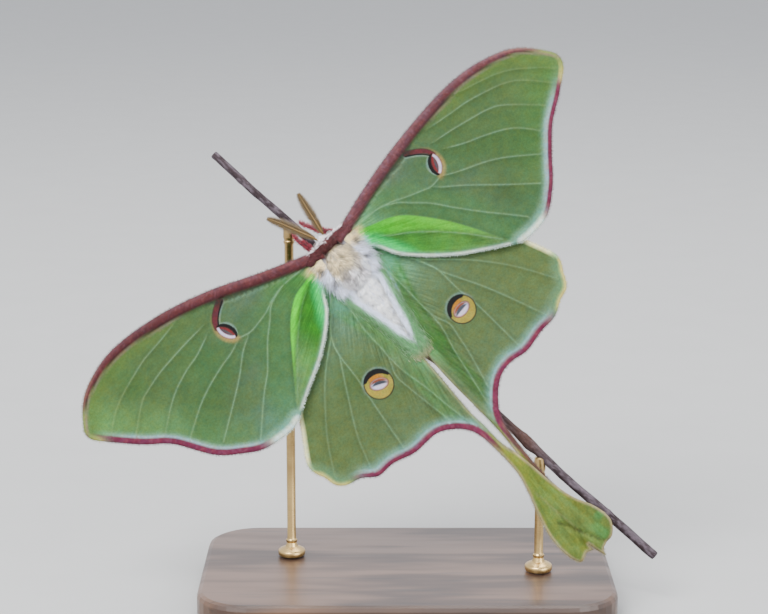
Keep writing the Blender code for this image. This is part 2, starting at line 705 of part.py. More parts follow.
def make_legs(frame, body_cutters):
    """Six legs, each one bent and tapered limb from the body to the twig."""
    for name, course in LEG_COURSES.items():
        line = smooth_line(course, LEG_STEP)
        radii = []
        for i in range(len(line)):
            t = i / (len(line) - 1)
            thick = FEMUR_RADIUS + (TIBIA_RADIUS - FEMUR_RADIUS) * blend(*FEMUR_ENDS, t)
            radii.append(thick + (TARSUS_RADIUS - thick) * blend(*TIBIA_ENDS, t))
        radii[-1] *= CLAW_SHARE
        leg = part(name, tube(name, line, radii), "leg", frame)
        cut_clear(leg, *body_cutters)


def make_antennae(frame, head_cut):
    """Two feather-like feelers."""
    for name, course in ANTENNA_COURSES.items():
        line = smooth_line(course, SHAFT_STEP)
        radii = []
        for i in range(len(line)):
            t = i / (len(line) - 1)
            radii.append(SHAFT_RADIUS + (SHAFT_TIP_RADIUS - SHAFT_RADIUS) * t)
        antenna = part(name, tube(name, line, radii), "antenna", frame)
        fuse(antenna, antenna_rays(line))
        cut_clear(antenna, head_cut)


def antenna_rays(line):
    """The comb on both sides of a feeler's shaft, longest at its middle."""
    lengths = [0.0]
    for a, b in zip(line, line[1:]):
        lengths.append(lengths[-1] + (b - a).length)
    rays = []
    place = lengths[-1] * RAYS_FROM
    sign = 1
    while place < lengths[-1] * RAYS_TO:
        i = max(k for k in range(len(line) - 1) if lengths[k] <= place)
        root = line[i].lerp(line[i + 1], (place - lengths[i]) / (lengths[i + 1] - lengths[i]))
        ahead = (line[i + 1] - line[i]).normalized()
        aside = Vector((-ahead.y, ahead.x, 0.0)).normalized()
        share = place / lengths[-1]
        swell = math.sin(math.pi * min(1.0, share * RAY_PEAK))
        length = RAY_LENGTH * (RAY_SHORTEST + (1 - RAY_SHORTEST) * swell)
        sweep = math.radians(RAY_SWEEP)
        way = ahead * math.cos(sweep) + aside * sign * math.sin(sweep)
        rays.append(taper("ray", root, root + way * length, RAY_RADIUS, RAY_TIP_RADIUS,
                          RAY_SIDES))
        place += RAY_PITCH / 2
        sign = -sign
    return rays


def twig_line():
    """The course of the twig's middle."""
    course = (TWIG_TOP, *TWIG_COURSE, TWIG_END)
    flat = smooth_line(course, TWIG_STEP)
    return [Vector((p.x, p.y, TWIG_HEIGHT)) for p in flat]


def twig_radii(line, grow=0.0):
    """Its radius at each point, with a swelling at the knot."""
    radii = []
    for i, point in enumerate(line):
        t = i / (len(line) - 1)
        knot = KNOT_SWELL * math.exp(-((point.y - KNOT_Y) / KNOT_LENGTH) ** 2)
        radii.append(TWIG_RADIUS_TOP + (TWIG_RADIUS_END - TWIG_RADIUS_TOP) * t + knot + grow)
    return radii


def make_twig(frame):
    """The cut length of twig, and the hidden body that the rods are cut by."""
    line = twig_line()
    part("perch", tube("perch", line, twig_radii(line), TWIG_ROUNDNESS), "twig", frame)
    wider = tube("perch_cutter", line, twig_radii(line, GAP), TWIG_ROUNDNESS)
    return cutter("perch_cutter", wider, frame)


def make_stand(root, frame, perch_cut):
    """The flat base and its two turned rods."""
    base_top = -BASE_TOP_BELOW_THORAX
    bm = bmesh.new()
    bmesh.ops.create_cube(bm, size=1.0)
    bmesh.ops.scale(bm, vec=BASE_SIZE, verts=bm.verts)
    upright = [e for e in bm.edges if e.verts[0].co.z * e.verts[1].co.z < 0]
    bmesh.ops.bevel(bm, geom=upright, offset=BASE_CORNER, segments=BASE_CORNER_STEPS,
                    profile=0.5, affect="EDGES")
    base = part("stand_base", mesh_of("stand_base", bm), "wood", root)
    base.location = Vector((BASE_CENTRE[0], BASE_CENTRE[1],
                            base_top - BASE_SIZE[2] / 2)) * MM
    bevel = base.modifiers.new("eased_edges", "BEVEL")
    bevel.width = BASE_EDGE * MM
    bevel.segments = BASE_EDGE_STEPS
    bevel.limit_method = "ANGLE"
    bevel.angle_limit = math.radians(CRISP_CORNER)

    line = twig_line()
    for name, at_y in (("stand_rod_upper", ROD_UPPER_AT_Y), ("stand_rod_lower", ROD_LOWER_AT_Y)):
        for before, after in zip(line, line[1:]):
            if before.y >= at_y >= after.y:
                break
        t = (before.y - at_y) / (before.y - after.y)
        joint = frame.matrix_world @ (before.lerp(after, t) * MM)
        top = joint.z / MM - ROD_TOP_BELOW_TWIG
        foot = base_top + GAP
        cup_end = top - ROD_CUP_DEPTH
        shoulder = foot + ROD_FOOT_HEIGHT
        profile = (
            (0.0, top), (ROD_CUP_RADIUS, top), (ROD_CUP_RADIUS, cup_end),
            (ROD_RADIUS, cup_end - ROD_CUP_TAPER), (ROD_RADIUS, shoulder + ROD_FOOT_NECK),
            (ROD_FOOT_RADIUS - ROD_FOOT_SLOPE, shoulder),
            (ROD_FOOT_RADIUS, shoulder - ROD_FOOT_EDGE), (ROD_FOOT_RADIUS, foot), (0.0, foot),
        )
        bm = bmesh.new()
        rail = [bm.verts.new((r, 0.0, z - foot)) for r, z in profile]
        for a, b in zip(rail, rail[1:]):
            bm.edges.new((a, b))
        rod = part(name, mesh_of(name, bm), "brass", root)
        rod.location = (joint.x, joint.y, foot * MM)
        turn = rod.modifiers.new("turned", "SCREW")
        turn.steps = ROD_SIDES
        turn.render_steps = ROD_SIDES
        turn.use_merge_vertices = True
        turn.merge_threshold = 0.00001
        cut_clear(rod, perch_cut)


def settle(root):
    """Put the middle of the underside at the origin."""
    bpy.context.view_layer.update()
    graph = bpy.context.evaluated_depsgraph_get()
    corners = []
    for obj in parts.objects:
        if obj.type != "MESH":
            continue
        shaped = obj.evaluated_get(graph)
        corners.extend(obj.matrix_world @ v.co for v in shaped.to_mesh().vertices)
        shaped.to_mesh_clear()
    low = [min(c[k] for c in corners) for k in range(3)]
    high = [max(c[k] for c in corners) for k in range(3)]
    root.location -= Vector(((low[0] + high[0]) / 2, (low[1] + high[1]) / 2, low[2]))


for old in list(bpy.data.objects):
    bpy.data.objects.remove(old)
parts = bpy.data.collections.new("luna_moth")
cutters = bpy.data.collections.new("luna_moth_cutters")
bpy.context.scene.collection.children.link(parts)
bpy.context.scene.collection.children.link(cutters)

model_root = bpy.data.objects.new("model_root", None)
lean = bpy.data.objects.new("lean", None)
moth_frame = bpy.data.objects.new("moth_frame", None)
for empty, parent in ((model_root, None), (lean, model_root), (moth_frame, lean)):
    parts.objects.link(empty)
    empty.parent = parent
lean.rotation_euler.x = math.radians(90.0 - LEAN_BACK)
moth_frame.rotation_euler.z = math.radians(TURN)
bpy.context.view_layer.update()

thorax_cutter, prothorax_cutter, head_cutter = make_moth_body(moth_frame)
make_wings(moth_frame, (thorax_cutter, prothorax_cutter))
make_legs(moth_frame, (thorax_cutter, prothorax_cutter))
make_antennae(moth_frame, head_cutter)
perch_cutter = make_twig(moth_frame)
make_stand(model_root, moth_frame, perch_cutter)
settle(model_root)
bpy.context.view_layer.update()
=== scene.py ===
"""Looks of a life-size luna moth that rests on a cut twig, held by a small display stand.

Sizes are in millimetres in the moth's own frame: x is its right, y is toward its
head and z is out of its back. A wing's own x runs outward on both sides.
"""
import math

import bmesh
import bpy
import numpy as np
from mathutils import Matrix, Vector
from mathutils.geometry import delaunay_2d_cdt


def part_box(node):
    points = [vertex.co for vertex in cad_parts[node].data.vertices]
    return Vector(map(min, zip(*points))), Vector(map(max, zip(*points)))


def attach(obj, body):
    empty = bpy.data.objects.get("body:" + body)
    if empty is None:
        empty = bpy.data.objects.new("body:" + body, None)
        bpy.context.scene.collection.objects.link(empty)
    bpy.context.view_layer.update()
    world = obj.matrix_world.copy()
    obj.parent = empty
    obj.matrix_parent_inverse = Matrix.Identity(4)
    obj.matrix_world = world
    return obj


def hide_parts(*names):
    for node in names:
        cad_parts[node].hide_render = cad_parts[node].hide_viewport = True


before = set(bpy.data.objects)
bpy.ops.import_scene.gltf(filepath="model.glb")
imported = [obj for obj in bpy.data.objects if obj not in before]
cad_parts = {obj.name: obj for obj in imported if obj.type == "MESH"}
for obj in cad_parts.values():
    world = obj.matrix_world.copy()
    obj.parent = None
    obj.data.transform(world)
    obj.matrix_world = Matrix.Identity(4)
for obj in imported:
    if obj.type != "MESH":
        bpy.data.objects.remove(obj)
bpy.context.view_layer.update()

MM = 0.001
LEAN_BACK = 12.0
TURN = 42.3
BASE_CENTRE = (13.0, 3.0)
BASE_TOP_BELOW_THORAX = 57.5
LIGHT = 4.0
STRENGTH_OF_COLOUR = 1.9
PALEST = 0.95
UP = np.array((0.0, 0.0, 1.0))
# How many points are compared with the others at a time
CHUNK = 1000

# Body, as centres and half sizes
THORAX = ((0.0, -3.8, -1.0), (4.4, 4.9, 3.7))
PROTHORAX = ((0.0, 0.8, -0.7), (3.6, 1.0, 2.7))
HEAD = ((-0.1, 1.7, -1.6), (1.8, 1.25, 1.6))
# The rope of fur across the shoulders: x, y, z and its half width and half height
COLLAR = (
    (0.0, 0.88, 1.30, 0.92, 0.85),
    (1.1, 0.87, 1.32, 0.92, 0.85),
    (2.2, 0.84, 1.35, 0.93, 0.82),
    (3.2, 0.74, 1.40, 0.98, 0.78),
    (4.1, 0.62, 1.45, 1.10, 0.70),
    (5.0, 0.98, 1.50, 0.86, 0.55),
    (5.8, 1.30, 1.55, 0.80, 0.42),
)
SKIN_DEPTH = 0.45
SKIN_VOXEL = 0.22
BALL_SEGMENTS = (40, 24)
KNOB_SEGMENTS = (24, 16)
ABDOMEN_RING_STEP = 0.4
ABDOMEN_SIDES = 32
SEGMENT_LENGTH = 3.0
SEGMENT_RELIEF = 0.1
ABDOMEN_SECTIONS = (
    (-6.0, 3.2, 2.8, -2.0),
    (-9.0, 3.3, 2.7, -2.1),
    (-12.0, 3.1, 2.4, -2.3),
    (-15.0, 2.8, 2.1, -2.4),
    (-18.0, 2.4, 1.8, -2.5),
    (-21.0, 1.8, 1.4, -2.5),
    (-24.0, 1.1, 0.95, -2.4),
    (-25.6, 0.5, 0.45, -2.3),
)

# Wings: thickness, heights and the spacing of the mesh
MEMBRANE = 0.14
# The shares of the thickness above and below a wing's middle height
ABOVE = 0.62
BELOW = 0.38
VEIN_RISE = 0.2
COSTA_RISE = 0.8
RIM_STEP = 0.25
ROWS_IN = (0.12, 0.3, 0.55, 0.85, 1.2, 1.6, 2.0)
VEIN_STEP = 0.4
COARSE_STEP = 0.5
VEIN_ROWS = (0.15, 0.34)
FILL_STEP = 0.42
SPOT_STEP = 0.12
FORE_SPOT_BOX = (-3.5, 2.3, -2.7, 5.0)
HIND_SPOT_BOX = (-3.1, 3.1, -3.1, 3.1)
LEAST_GAP = 0.1
VEIN_GAP = 0.13
VEIN_STOPS_SHORT = 0.12
APEX_REACH = 2.6
EASING_ROUNDS = 60
FOREWING_ROOT_HEIGHT = 1.5
HINDWING_ROOT_HEIGHT = 0.2
TAIL_PARTING = 0.75
TAIL_DROOP = 1.6
FOREWING_LENGTH = 50.0
FOREWING_ARCH = 1.5
# How fast the forewing sinks behind its front edge, with the square of the distance
FOREWING_SLOPE = 0.0022
HINDWING_DROP = 0.35
RIPPLE = 0.18
# Relief within a wing: beside its crease, in its pleats, between its veins and at its margin
FOLD_DIP = 0.1
FOLD_RIDGE = 0.3
PLEAT_RISE = 0.11
SAG = 0.14
DRAPE = 0.09
RUFFLE = 0.12
COSTA_WIDTHS = ((0, 6, 20, 30, 36, 42, 46, 49, 53), (1.8, 1.95, 1.9, 1.7, 1.45, 1.12, 0.68, 0.38, 0.3))

FOREWING_RIGHT = (
    ((1.2, 0.9), (4.0, 1.7), (12.0, 3.9), (20.0, 5.55), (28.0, 6.65),
     (34.0, 6.95), (40.0, 6.2), (46.0, 3.7), (50.9, -1.9)),
    ((50.9, -1.9), (49.5, -4.0), (46.0, -6.8), (42.0, -9.6), (38.6, -13.2),
     (35.1, -17.3), (31.0, -20.5), (27.0, -21.2), (24.8, -21.1)),
    ((24.8, -21.1), (20.0, -18.4), (14.0, -14.5), (8.2, -9.0), (5.5, -4.5),
     (2.2, -2.6)),
)
FOREWING_LEFT = (
    ((1.2, 0.9), (4.0, 1.9), (12.0, 5.0), (20.0, 8.4), (28.0, 10.8),
     (36.0, 12.0), (42.0, 11.65), (48.0, 9.2), (52.5, 4.2)),
    ((52.5, 4.2), (50.4, 1.6), (46.0, -3.1), (42.0, -6.7), (38.2, -12.6),
     (34.5, -15.7), (31.0, -17.7), (26.0, -18.35), (23.7, -17.9)),
    ((23.7, -17.9), (19.0, -15.3), (13.0, -12.1), (8.0, -8.0), (5.3, -4.0),
     (2.2, -2.4)),
)
HINDWING_RIGHT = (
    ((2.2, -3.2), (8.0, -4.6), (14.0, -8.2), (19.5, -13.2), (24.0, -18.6),
     (26.2, -23.0), (28.0, -27.4)),
    ((28.0, -27.4), (26.8, -29.0), (25.2, -31.8), (23.0, -32.7), (20.2, -34.2),
     (17.0, -34.5), (13.0, -35.3), (9.5, -34.9), (6.6, -35.6), (3.8, -38.0),
     (1.9, -41.0), (1.3, -44.5), (1.0, -49.0), (0.9, -53.0), (1.1, -57.0),
     (2.0, -60.5), (2.7, -64.0)),
    ((2.7, -64.0), (2.2, -66.3), (0.8, -67.6), (-0.9, -67.8), (-2.8, -67.0),
     (-3.9, -64.5)),
    ((-3.9, -64.5), (-3.5, -61.0), (-2.4, -56.0), (-1.4, -52.0), (-0.3, -48.0),
     (0.15, -44.5), (0.2, -40.0), (-0.2, -32.0), (-0.2, -26.0), (0.5, -20.0),
     (1.6, -14.0), (3.0, -8.5), (2.7, -6.2)),
)
HINDWING_LEFT = (
    ((2.2, -3.2), (8.0, -4.4), (14.0, -7.6), (19.0, -12.0), (22.3, -16.0),
     (25.0, -20.2), (27.7, -24.4), (28.2, -26.4)),
    ((28.2, -26.4), (27.2, -27.6), (26.6, -30.1), (25.3, -31.5), (22.5, -32.4),
     (20.0, -34.1), (16.8, -34.2), (12.8, -35.3), (8.0, -35.4), (4.9, -37.1),
     (3.0, -39.6), (2.35, -43.0), (2.2, -49.0), (3.0, -52.8), (4.3, -56.8),
     (5.4, -61.0), (5.6, -64.0)),
    ((5.6, -64.0), (5.3, -66.3), (4.4, -68.0), (2.9, -67.5), (1.6, -67.9)),
    ((1.6, -67.9), (1.45, -66.6), (1.2, -68.0), (0.6, -69.9)),
    ((0.6, -69.9), (0.0, -68.8), (-2.3, -68.3), (-4.0, -66.5), (-4.2, -64.5)),
    ((-4.2, -64.5), (-3.5, -62.1), (-1.8, -58.4), (-0.95, -54.4), (-0.4, -50.0),
     (0.1, -47.0), (0.9, -44.0), (1.1, -40.0), (1.3, -36.0), (1.0, -28.0),
     (0.9, -20.0), (1.7, -14.0), (3.0, -8.5), (2.7, -6.2)),
)

# Main veins, root to margin
FOREWING_VEINS_RIGHT = (
    ((3.0, 0.3), (6.0, -0.2), (10.0, -0.5), (13.0, -1.3), (15.3, -2.3), (17.7, -3.2),
     (19.5, -3.8), (21.7, -3.6)),
    ((10.0, -0.5), (13.0, -1.7), (15.3, -3.7), (17.7, -6.0), (20.0, -9.0), (23.3, -13.0),
     (26.0, -16.0), (28.2, -18.5)),
    ((19.5, -3.8), (20.7, -5.0), (23.3, -7.0), (26.0, -9.3), (28.7, -11.7), (33.6, -15.8)),
    ((21.7, -3.6), (25.3, -5.3), (28.7, -6.7), (32.0, -8.5), (37.0, -12.2)),
    ((25.3, -0.5), (28.7, -2.2), (32.0, -3.5), (35.5, -5.2), (37.7, -7.0), (39.5, -9.2)),
    ((24.5, 1.5), (28.0, 1.0), (32.0, 0.2), (35.3, -0.6), (38.0, -2.0), (43.4, -6.9)),
    ((25.5, 3.8), (29.7, 3.2), (33.7, 2.7), (37.3, 1.8), (40.3, 0.8), (43.0, -0.9), (46.7, -4.8)),
    ((33.0, 5.0), (41.0, 2.6), (46.0, -0.8), (48.6, -3.3)),
    ((7.0, -3.6), (8.5, -5.0), (12.0, -7.4), (15.2, -10.2), (18.2, -13.3), (21.2, -16.9),
     (22.5, -18.5)),
)
FOREWING_VEINS_LEFT = (
    ((3.0, 0.5), (6.0, 0.6), (10.0, 0.7), (13.0, 0.2), (15.3, -0.7), (17.7, -1.2),
     (19.7, -1.4), (21.7, -0.9)),
    ((10.0, 0.7), (13.7, -0.3), (16.0, -2.3), (18.7, -4.7), (22.0, -8.3), (25.3, -11.0),
     (30.6, -16.0)),
    ((19.7, -1.4), (22.7, -3.0), (26.0, -5.7), (29.3, -8.0), (35.4, -12.0)),
    ((21.7, -0.9), (24.5, -1.9), (27.3, -2.5), (31.3, -3.7), (34.7, -5.2), (39.5, -8.0)),
    ((25.0, 3.3), (28.7, 1.8), (32.0, 1.0), (35.3, -0.2), (38.0, -1.7), (42.0, -4.6)),
    ((24.5, 4.7), (28.7, 4.5), (32.0, 4.2), (35.3, 3.8), (38.7, 3.0), (41.3, 2.0), (46.0, -1.6)),
    ((27.5, 8.4), (32.0, 7.7), (36.0, 7.2), (39.3, 6.3), (42.7, 5.2), (45.7, 3.8), (48.9, 1.4)),
    ((7.2, -2.3), (10.0, -3.9), (13.2, -6.5), (16.3, -9.5), (19.3, -12.8), (22.4, -16.3)),
)
HINDWING_VEINS_RIGHT = (
    ((4.5, -5.3), (7.0, -7.2), (9.2, -10.9), (10.3, -13.2), (11.0, -15.3), (11.3, -20.0),
     (11.9, -24.0), (12.2, -28.5), (12.5, -34.4)),
    ((11.0, -15.3), (12.7, -18.4), (14.8, -22.3), (16.9, -26.9), (19.4, -33.0)),
    ((9.2, -10.9), (15.2, -16.5), (18.0, -19.5), (20.5, -22.6), (22.6, -25.8), (25.1, -30.0)),
    ((4.0, -7.5), (4.7, -12.0), (5.0, -19.5), (6.2, -23.0), (5.9, -25.8), (5.4, -29.0),
     (3.8, -35.8)),
    ((5.0, -19.5), (4.8, -23.0), (3.8, -27.0), (3.1, -31.0), (2.0, -37.0), (0.75, -43.0),
     (0.3, -48.0), (-0.3, -54.0), (-0.7, -60.0), (-0.7, -66.0)),
)
HINDWING_VEINS_LEFT = (
    ((4.5, -5.3), (7.6, -8.2), (10.1, -11.2), (11.2, -14.2), (11.6, -19.0), (12.3, -23.4),
     (12.9, -27.6), (13.8, -34.3)),
    ((11.3, -14.6), (13.8, -18.8), (16.2, -23.0), (18.4, -27.2), (20.4, -33.0)),
    ((10.1, -11.2), (13.4, -13.7), (16.9, -17.0), (20.8, -21.6), (23.3, -25.1), (26.0, -29.8)),
    ((4.0, -7.5), (5.1, -13.5), (5.2, -19.8), (6.4, -23.4), (6.1, -27.0), (4.7, -35.6)),
    ((5.2, -19.8), (5.0, -23.4), (4.1, -28.0), (3.3, -33.2), (2.5, -38.0), (1.7, -42.0),
     (1.2, -47.0), (1.2, -52.0), (1.6, -58.0), (0.9, -66.5)),
)
# The crease behind which the forewing shows its bright hind panel
FOREWING_FOLD_RIGHT = ((5.2, -0.9), (8.0, -1.9), (10.7, -2.9), (13.0, -4.4), (15.3, -6.9),
                       (17.7, -10.0), (20.0, -13.6), (22.0, -17.2), (23.4, -19.6), (24.6, -22.0))
FOREWING_FOLD_LEFT = ((5.2, -1.0), (7.5, -1.5), (10.0, -2.1), (12.7, -4.0), (14.9, -6.3),
                      (17.0, -9.0), (18.7, -11.2), (20.8, -13.9), (22.8, -16.7), (23.8, -19.0))

# Antennae: the course of each shaft, and its comb
ANTENNA_COURSES = {
    "antenna_right": ((0.5, 2.2, -1.3), (0.75, 3.6, -0.7), (1.1, 5.4, -0.3),
                      (1.6, 8.2, -0.1), (2.1, 10.7, -0.2)),
    "antenna_left": ((-0.7, 2.2, -1.3), (-1.2, 3.6, -0.7), (-2.1, 5.6, -0.3),
                     (-3.4, 8.6, -0.1), (-4.7, 11.1, -0.2)),
}
SHAFT_RADIUS = 0.2
SHAFT_TAPER = 0.12
SHAFT_SIDES = 10
BARB_SPACING = 0.12
BARB_REACH = 1.3

# Coat: how many hairs and tufts there are, and where the wing hair begins from front to back
WING_HAIRS = 3900
WING_HAIR_ROOTS = ((0.0, 0.15, 0.35, 0.6, 1.0), (2.5, 2.6, 2.9, 3.1, 2.6))
WING_HAIR_WIDTHS = (0.022, 0.042)
MARGIN_HAIRS = 2600
MARGIN_HAIR_LENGTHS = (1.0, 2.8)
MARGIN_HAIR_WIDTHS = (0.04, 0.07)
LEG_TUFTS = 900
LEG_TUFT_LENGTHS = (0.4, 0.9)
LEG_TUFT_WIDTHS = (0.05, 0.09)
FRINGE_STEP = 0.075
FRINGE_LENGTHS = (0.2, 0.45)
FRINGE_WIDTHS = (0.05, 0.08)
# The size of a tuft on its map, and how deep its foot sits
PATCH = 0.003
ROOT_DEPTH = 0.06
# How much paler a tuft is than smooth skin of the same look, for the shade between tufts
COAT_GAIN = {"white_fur": 2.6, "maroon_fur": 1.0, "crimson_fur": 1.6}
SKIN_GAIN = 1.3
# The unwrap of the body: the height of its axis, its hind end and its length
BODY_AXIS = -1.6
BODY_END = -27.0
BODY_SPAN = 34.0

# Twig
TWIG_HEIGHT = -7.0
TWIG_COURSE = (
    (-4.1, 26.0), (-3.2, 16.0), (-2.3, 8.5), (-1.5, -2.0), (0.3, -22.0), (2.0, -41.0),
    (2.6, -47.5), (3.2, -56.0), (4.5, -67.0), (5.6, -77.0),
)
TWIG_RADII = (0.66, 0.8)
KNOT_Y = -47.5
KNOT_SWELL = 0.3
KNOT_LENGTH = 1.8
LEAF_SCARS = (19.5, -28.0, -66.0)
SCAR_SWELL = 0.1
END_BEVEL = 0.1
TWIG_SIDES = 28
# How far the bark's ridges, cracks, lumps and rough knot stand out, on a core a little thinner
BARK_RIDGES = 0.03
BARK_CRACKS = 0.035
BARK_LUMPS = 0.05
BARK_AT_KNOT = 0.12
BARK_DEPTH = 0.02

# The rods' outline as radii and heights: from the top, over the foot, and from the foot's rim
ROD_HEAD = ((0.0, -0.1), (0.75, -0.05), (0.98, -0.25), (1.0, -2.2), (0.95, -2.5), (0.85, -2.65),
            (0.85, -2.8), (0.97, -2.95), (0.97, -3.15), (0.8, -3.5))
ROD_FOOT = ((0.78, 3.2), (0.84, 2.95), (1.0, 2.8), (1.0, 2.5), (0.86, 2.3), (1.1, 1.6), (1.9, 1.25))
ROD_RIM = ((-0.15, 1.05), (0.0, 0.85), (0.0, 0.2), (-0.12, 0.0))
ROD_SIDES = 48
ROD_SHARP_EDGE = 38

# Stage
# Each light's place from the moth and its size in metres, and its power in watts
LIGHTS = (
    ("key", (-0.35, -0.55, 0.65), 0.5, 21.5),
    ("fill", (0.6, -0.6, 0.15), 0.6, 9.3),
    ("top", (0.1, 0.2, 0.7), 0.5, 6.7),
)
SKY_LIGHT = 1.93
FLOOR_SIZE = 40.0
# The camera's place in millimetres, right of the thorax, up along the leaning back and out from it
CAMERA_FROM_THORAX = (9.01, -10.03, 362.7)
LENS = 100.0

# Colours as they look under even light, linear red, green and blue
INK = {
    "sage": (0.128, 0.222, 0.128),
    "meadow": (0.108, 0.203, 0.070),
    "apex": (0.150, 0.252, 0.080),
    "root": (0.150, 0.285, 0.155),
    "lime": (0.170, 0.450, 0.085),
    "leaf": (0.085, 0.310, 0.052),
    "panel": (0.150, 0.330, 0.085),
    "teal": (0.050, 0.500, 0.200),
    "vein": (0.310, 0.430, 0.310),
    "vein_warm": (0.260, 0.315, 0.165),
    "bone": (0.680, 0.720, 0.690),
    "frost": (0.300, 0.440, 0.375),
    "crimson": (0.270, 0.038, 0.098),
    "maroon": (0.168, 0.050, 0.060),
    "rose": (0.250, 0.120, 0.145),
    "umber": (0.035, 0.022, 0.018),
    "cream": (0.620, 0.590, 0.370),
    "haze": (0.180, 0.285, 0.158),
    "olive": (0.146, 0.224, 0.090),
    "moss": (0.162, 0.236, 0.080),
    "low": (0.172, 0.262, 0.125),
    "mint": (0.260, 0.470, 0.270),
    "stripe": (0.100, 0.255, 0.062),
    "tan": (0.342, 0.360, 0.232),
    "tail": (0.240, 0.295, 0.071),
    # Painted shade in the tail's folds
    "tail_fold_shade": (0.185, 0.240, 0.055),
    "tail_mint": (0.230, 0.340, 0.140),
    "tail_edge": (0.446, 0.414, 0.283),
    "tail_red": (0.200, 0.070, 0.060),
    "black": (0.004, 0.004, 0.006),
    "halo": (0.330, 0.430, 0.400),
    "spot_tan": (0.430, 0.340, 0.150),
    "spot_red": (0.300, 0.040, 0.045),
    "spot_brown": (0.125, 0.030, 0.026),
    "stalk": (0.190, 0.036, 0.048),
    "spot_grey": (0.120, 0.110, 0.120),
    "spot_white": (0.640, 0.620, 0.680),
    "spot_pink": (0.500, 0.330, 0.320),
    "ochre": (0.440, 0.390, 0.130),
    "amber": (0.540, 0.270, 0.045),
    "rust": (0.340, 0.090, 0.040),
    "frost_bright": (0.480, 0.540, 0.560),
    "slate": (0.105, 0.120, 0.150),
    "collar": (0.225, 0.034, 0.034),
    # Painted shadow of the down-turned face
    "face": (0.060, 0.028, 0.024),
    "fur_tail": (0.500, 0.410, 0.310),
    # Painted shadow under the raised costa
    "costa_shadow": (0.065, 0.085, 0.045),
    "tail_pale": (0.330, 0.350, 0.105),
    "tail_teal": (0.130, 0.400, 0.190),
    "cream_pale": (0.740, 0.730, 0.600),
    "pink": (0.400, 0.160, 0.230),
    "fur_cream": (0.630, 0.580, 0.470),
    "fur_lavender": (0.740, 0.725, 0.735),
    "fur_white": (0.860, 0.880, 0.940),
    "fur_grey": (0.330, 0.310, 0.300),
    "fur_olive": (0.230, 0.190, 0.090),
    "fur_head": (0.760, 0.720, 0.730),
    "fur_tan": (0.760, 0.660, 0.450),
    "leg_red": (0.440, 0.026, 0.065),
    "gold": (0.400, 0.255, 0.075),
    "comb": (0.270, 0.162, 0.038),
    "bark": (0.100, 0.064, 0.074),
    # Pale grey of the bark, also used for its painted highlights
    "bark_grey": (0.250, 0.200, 0.235),
    "knot": (0.200, 0.095, 0.070),
}


def ink(name):
    """A named colour as an array."""
    return np.array(INK[name])


def pigment(seen):
    """The surface colour that looks like the wanted one under this scene's light."""
    top = seen.max(axis=-1, keepdims=True)
    middle = seen.mean(axis=-1, keepdims=True)
    warm = np.clip(4 * (seen[..., 0:1] - seen[..., 1:2]) / top, 0.0, 1.0)
    strength = STRENGTH_OF_COLOUR * (1 - 0.8 * warm) * np.maximum(top - 0.22, 0.0)
    vivid = middle + (seen - middle) * (1.08 - 0.08 * warm + strength)
    bright = vivid + (2.2 - 0.9 * warm) * np.maximum(vivid - 0.2, 0.0) ** 2
    bright = bright + 4.0 * np.maximum(top - 0.5, 0.0) ** 2 * (top > 0.5)
    return np.clip(bright / LIGHT, 0.003, 0.93)


def blend(low, high, value):
    """0 below low, 1 above high and a smooth rise between."""
    t = np.clip((np.asarray(value, float) - low) / (high - low), 0.0, 1.0)
    return t * t * (3 - 2 * t)


def cover(under, over, share):
    """Lay one colour over another by a share at each point."""
    return under + (over - under) * np.asarray(share)[..., None]


def lay(under, name, share, tint=1.0):
    """Lay a named colour, tinted or not, over another by a share at each point."""
    return cover(under, ink(name) * tint, share)


def bell(gap, width):
    """1 where the gap is nothing, falling off smoothly over a width."""
    return np.exp(-(gap / width) ** 2)


def lattice_noise(x, y, size, seed):
    """Smooth noise from -1 to 1 over a plane, with blotches of about the given size."""
    dice = np.random.default_rng(seed).uniform(-1, 1, (64, 64))
    u, v = x / size, y / size
    i, j = np.floor(u).astype(int), np.floor(v).astype(int)
    a, b = u - i, v - j
    a, b = a * a * (3 - 2 * a), b * b * (3 - 2 * b)

    def at(p, q):
        return dice[p % 64, q % 64]

    low = at(i, j) * (1 - a) + at(i + 1, j) * a
    high = at(i, j + 1) * (1 - a) + at(i + 1, j + 1) * a
    return low * (1 - b) + high * b


def patchy(low, high, x, y, size, seed):
    """Soft patches: 0 where the noise over a plane is below low, and 1 where it is above high."""
    return blend(low, high, lattice_noise(x, y, size, seed))


def smooth_line(points, step):
    """Points about a step apart on a smooth curve through the given ones."""
    knots = np.array(points, float)
    ends = np.vstack([2 * knots[0] - knots[1], knots, 2 * knots[-1] - knots[-2]])
    line = []
    for before, start, stop, after in zip(ends, ends[1:], ends[2:], ends[3:]):
        pieces = max(1, round(float(np.linalg.norm(stop - start)) / step))
        for t in np.arange(pieces) / pieces:
            curve = (
                2 * start
                + (stop - before) * t
                + (2 * before - 5 * start + 4 * stop - after) * t * t
                + (3 * start - before - 3 * stop + after) * t * t * t
            )
            line.append(curve / 2)
    line.append(knots[-1])
    return np.array(line)


def nearest(points, line):
    """Distance from each point to a line, the share along it, and the side (+ is its right)."""
    best = np.full(len(points), 1e9)
    share = np.zeros(len(points))
    side = np.ones(len(points))
    for k, (a, b) in enumerate(zip(line, line[1:])):
        along = b - a
        gap = points - a
        t = np.clip(gap @ along / (along @ along), 0, 1)
        away = gap - t[:, None] * along
        far = np.hypot(away[:, 0], away[:, 1])
        closer = far < best
        best[closer] = far[closer]
        share[closer] = (k + t[closer]) / (len(line) - 1)
        cross = along[0] * gap[:, 1] - along[1] * gap[:, 0]
        side[closer] = -np.sign(cross[closer])
    return best, share, side


def inside(points, outline):
    """Whether each point lies within a closed outline."""
    x, y = points[:, 0], points[:, 1]
    within = np.zeros(len(points), bool)
    for (x1, y1), (x2, y2) in zip(outline, np.roll(outline, -1, axis=0)):
        if y1 == y2:
            continue
        crosses = ((y1 > y) != (y2 > y)) & (x < x1 + (x2 - x1) * (y - y1) / (y2 - y1))
        within ^= crosses
    return within


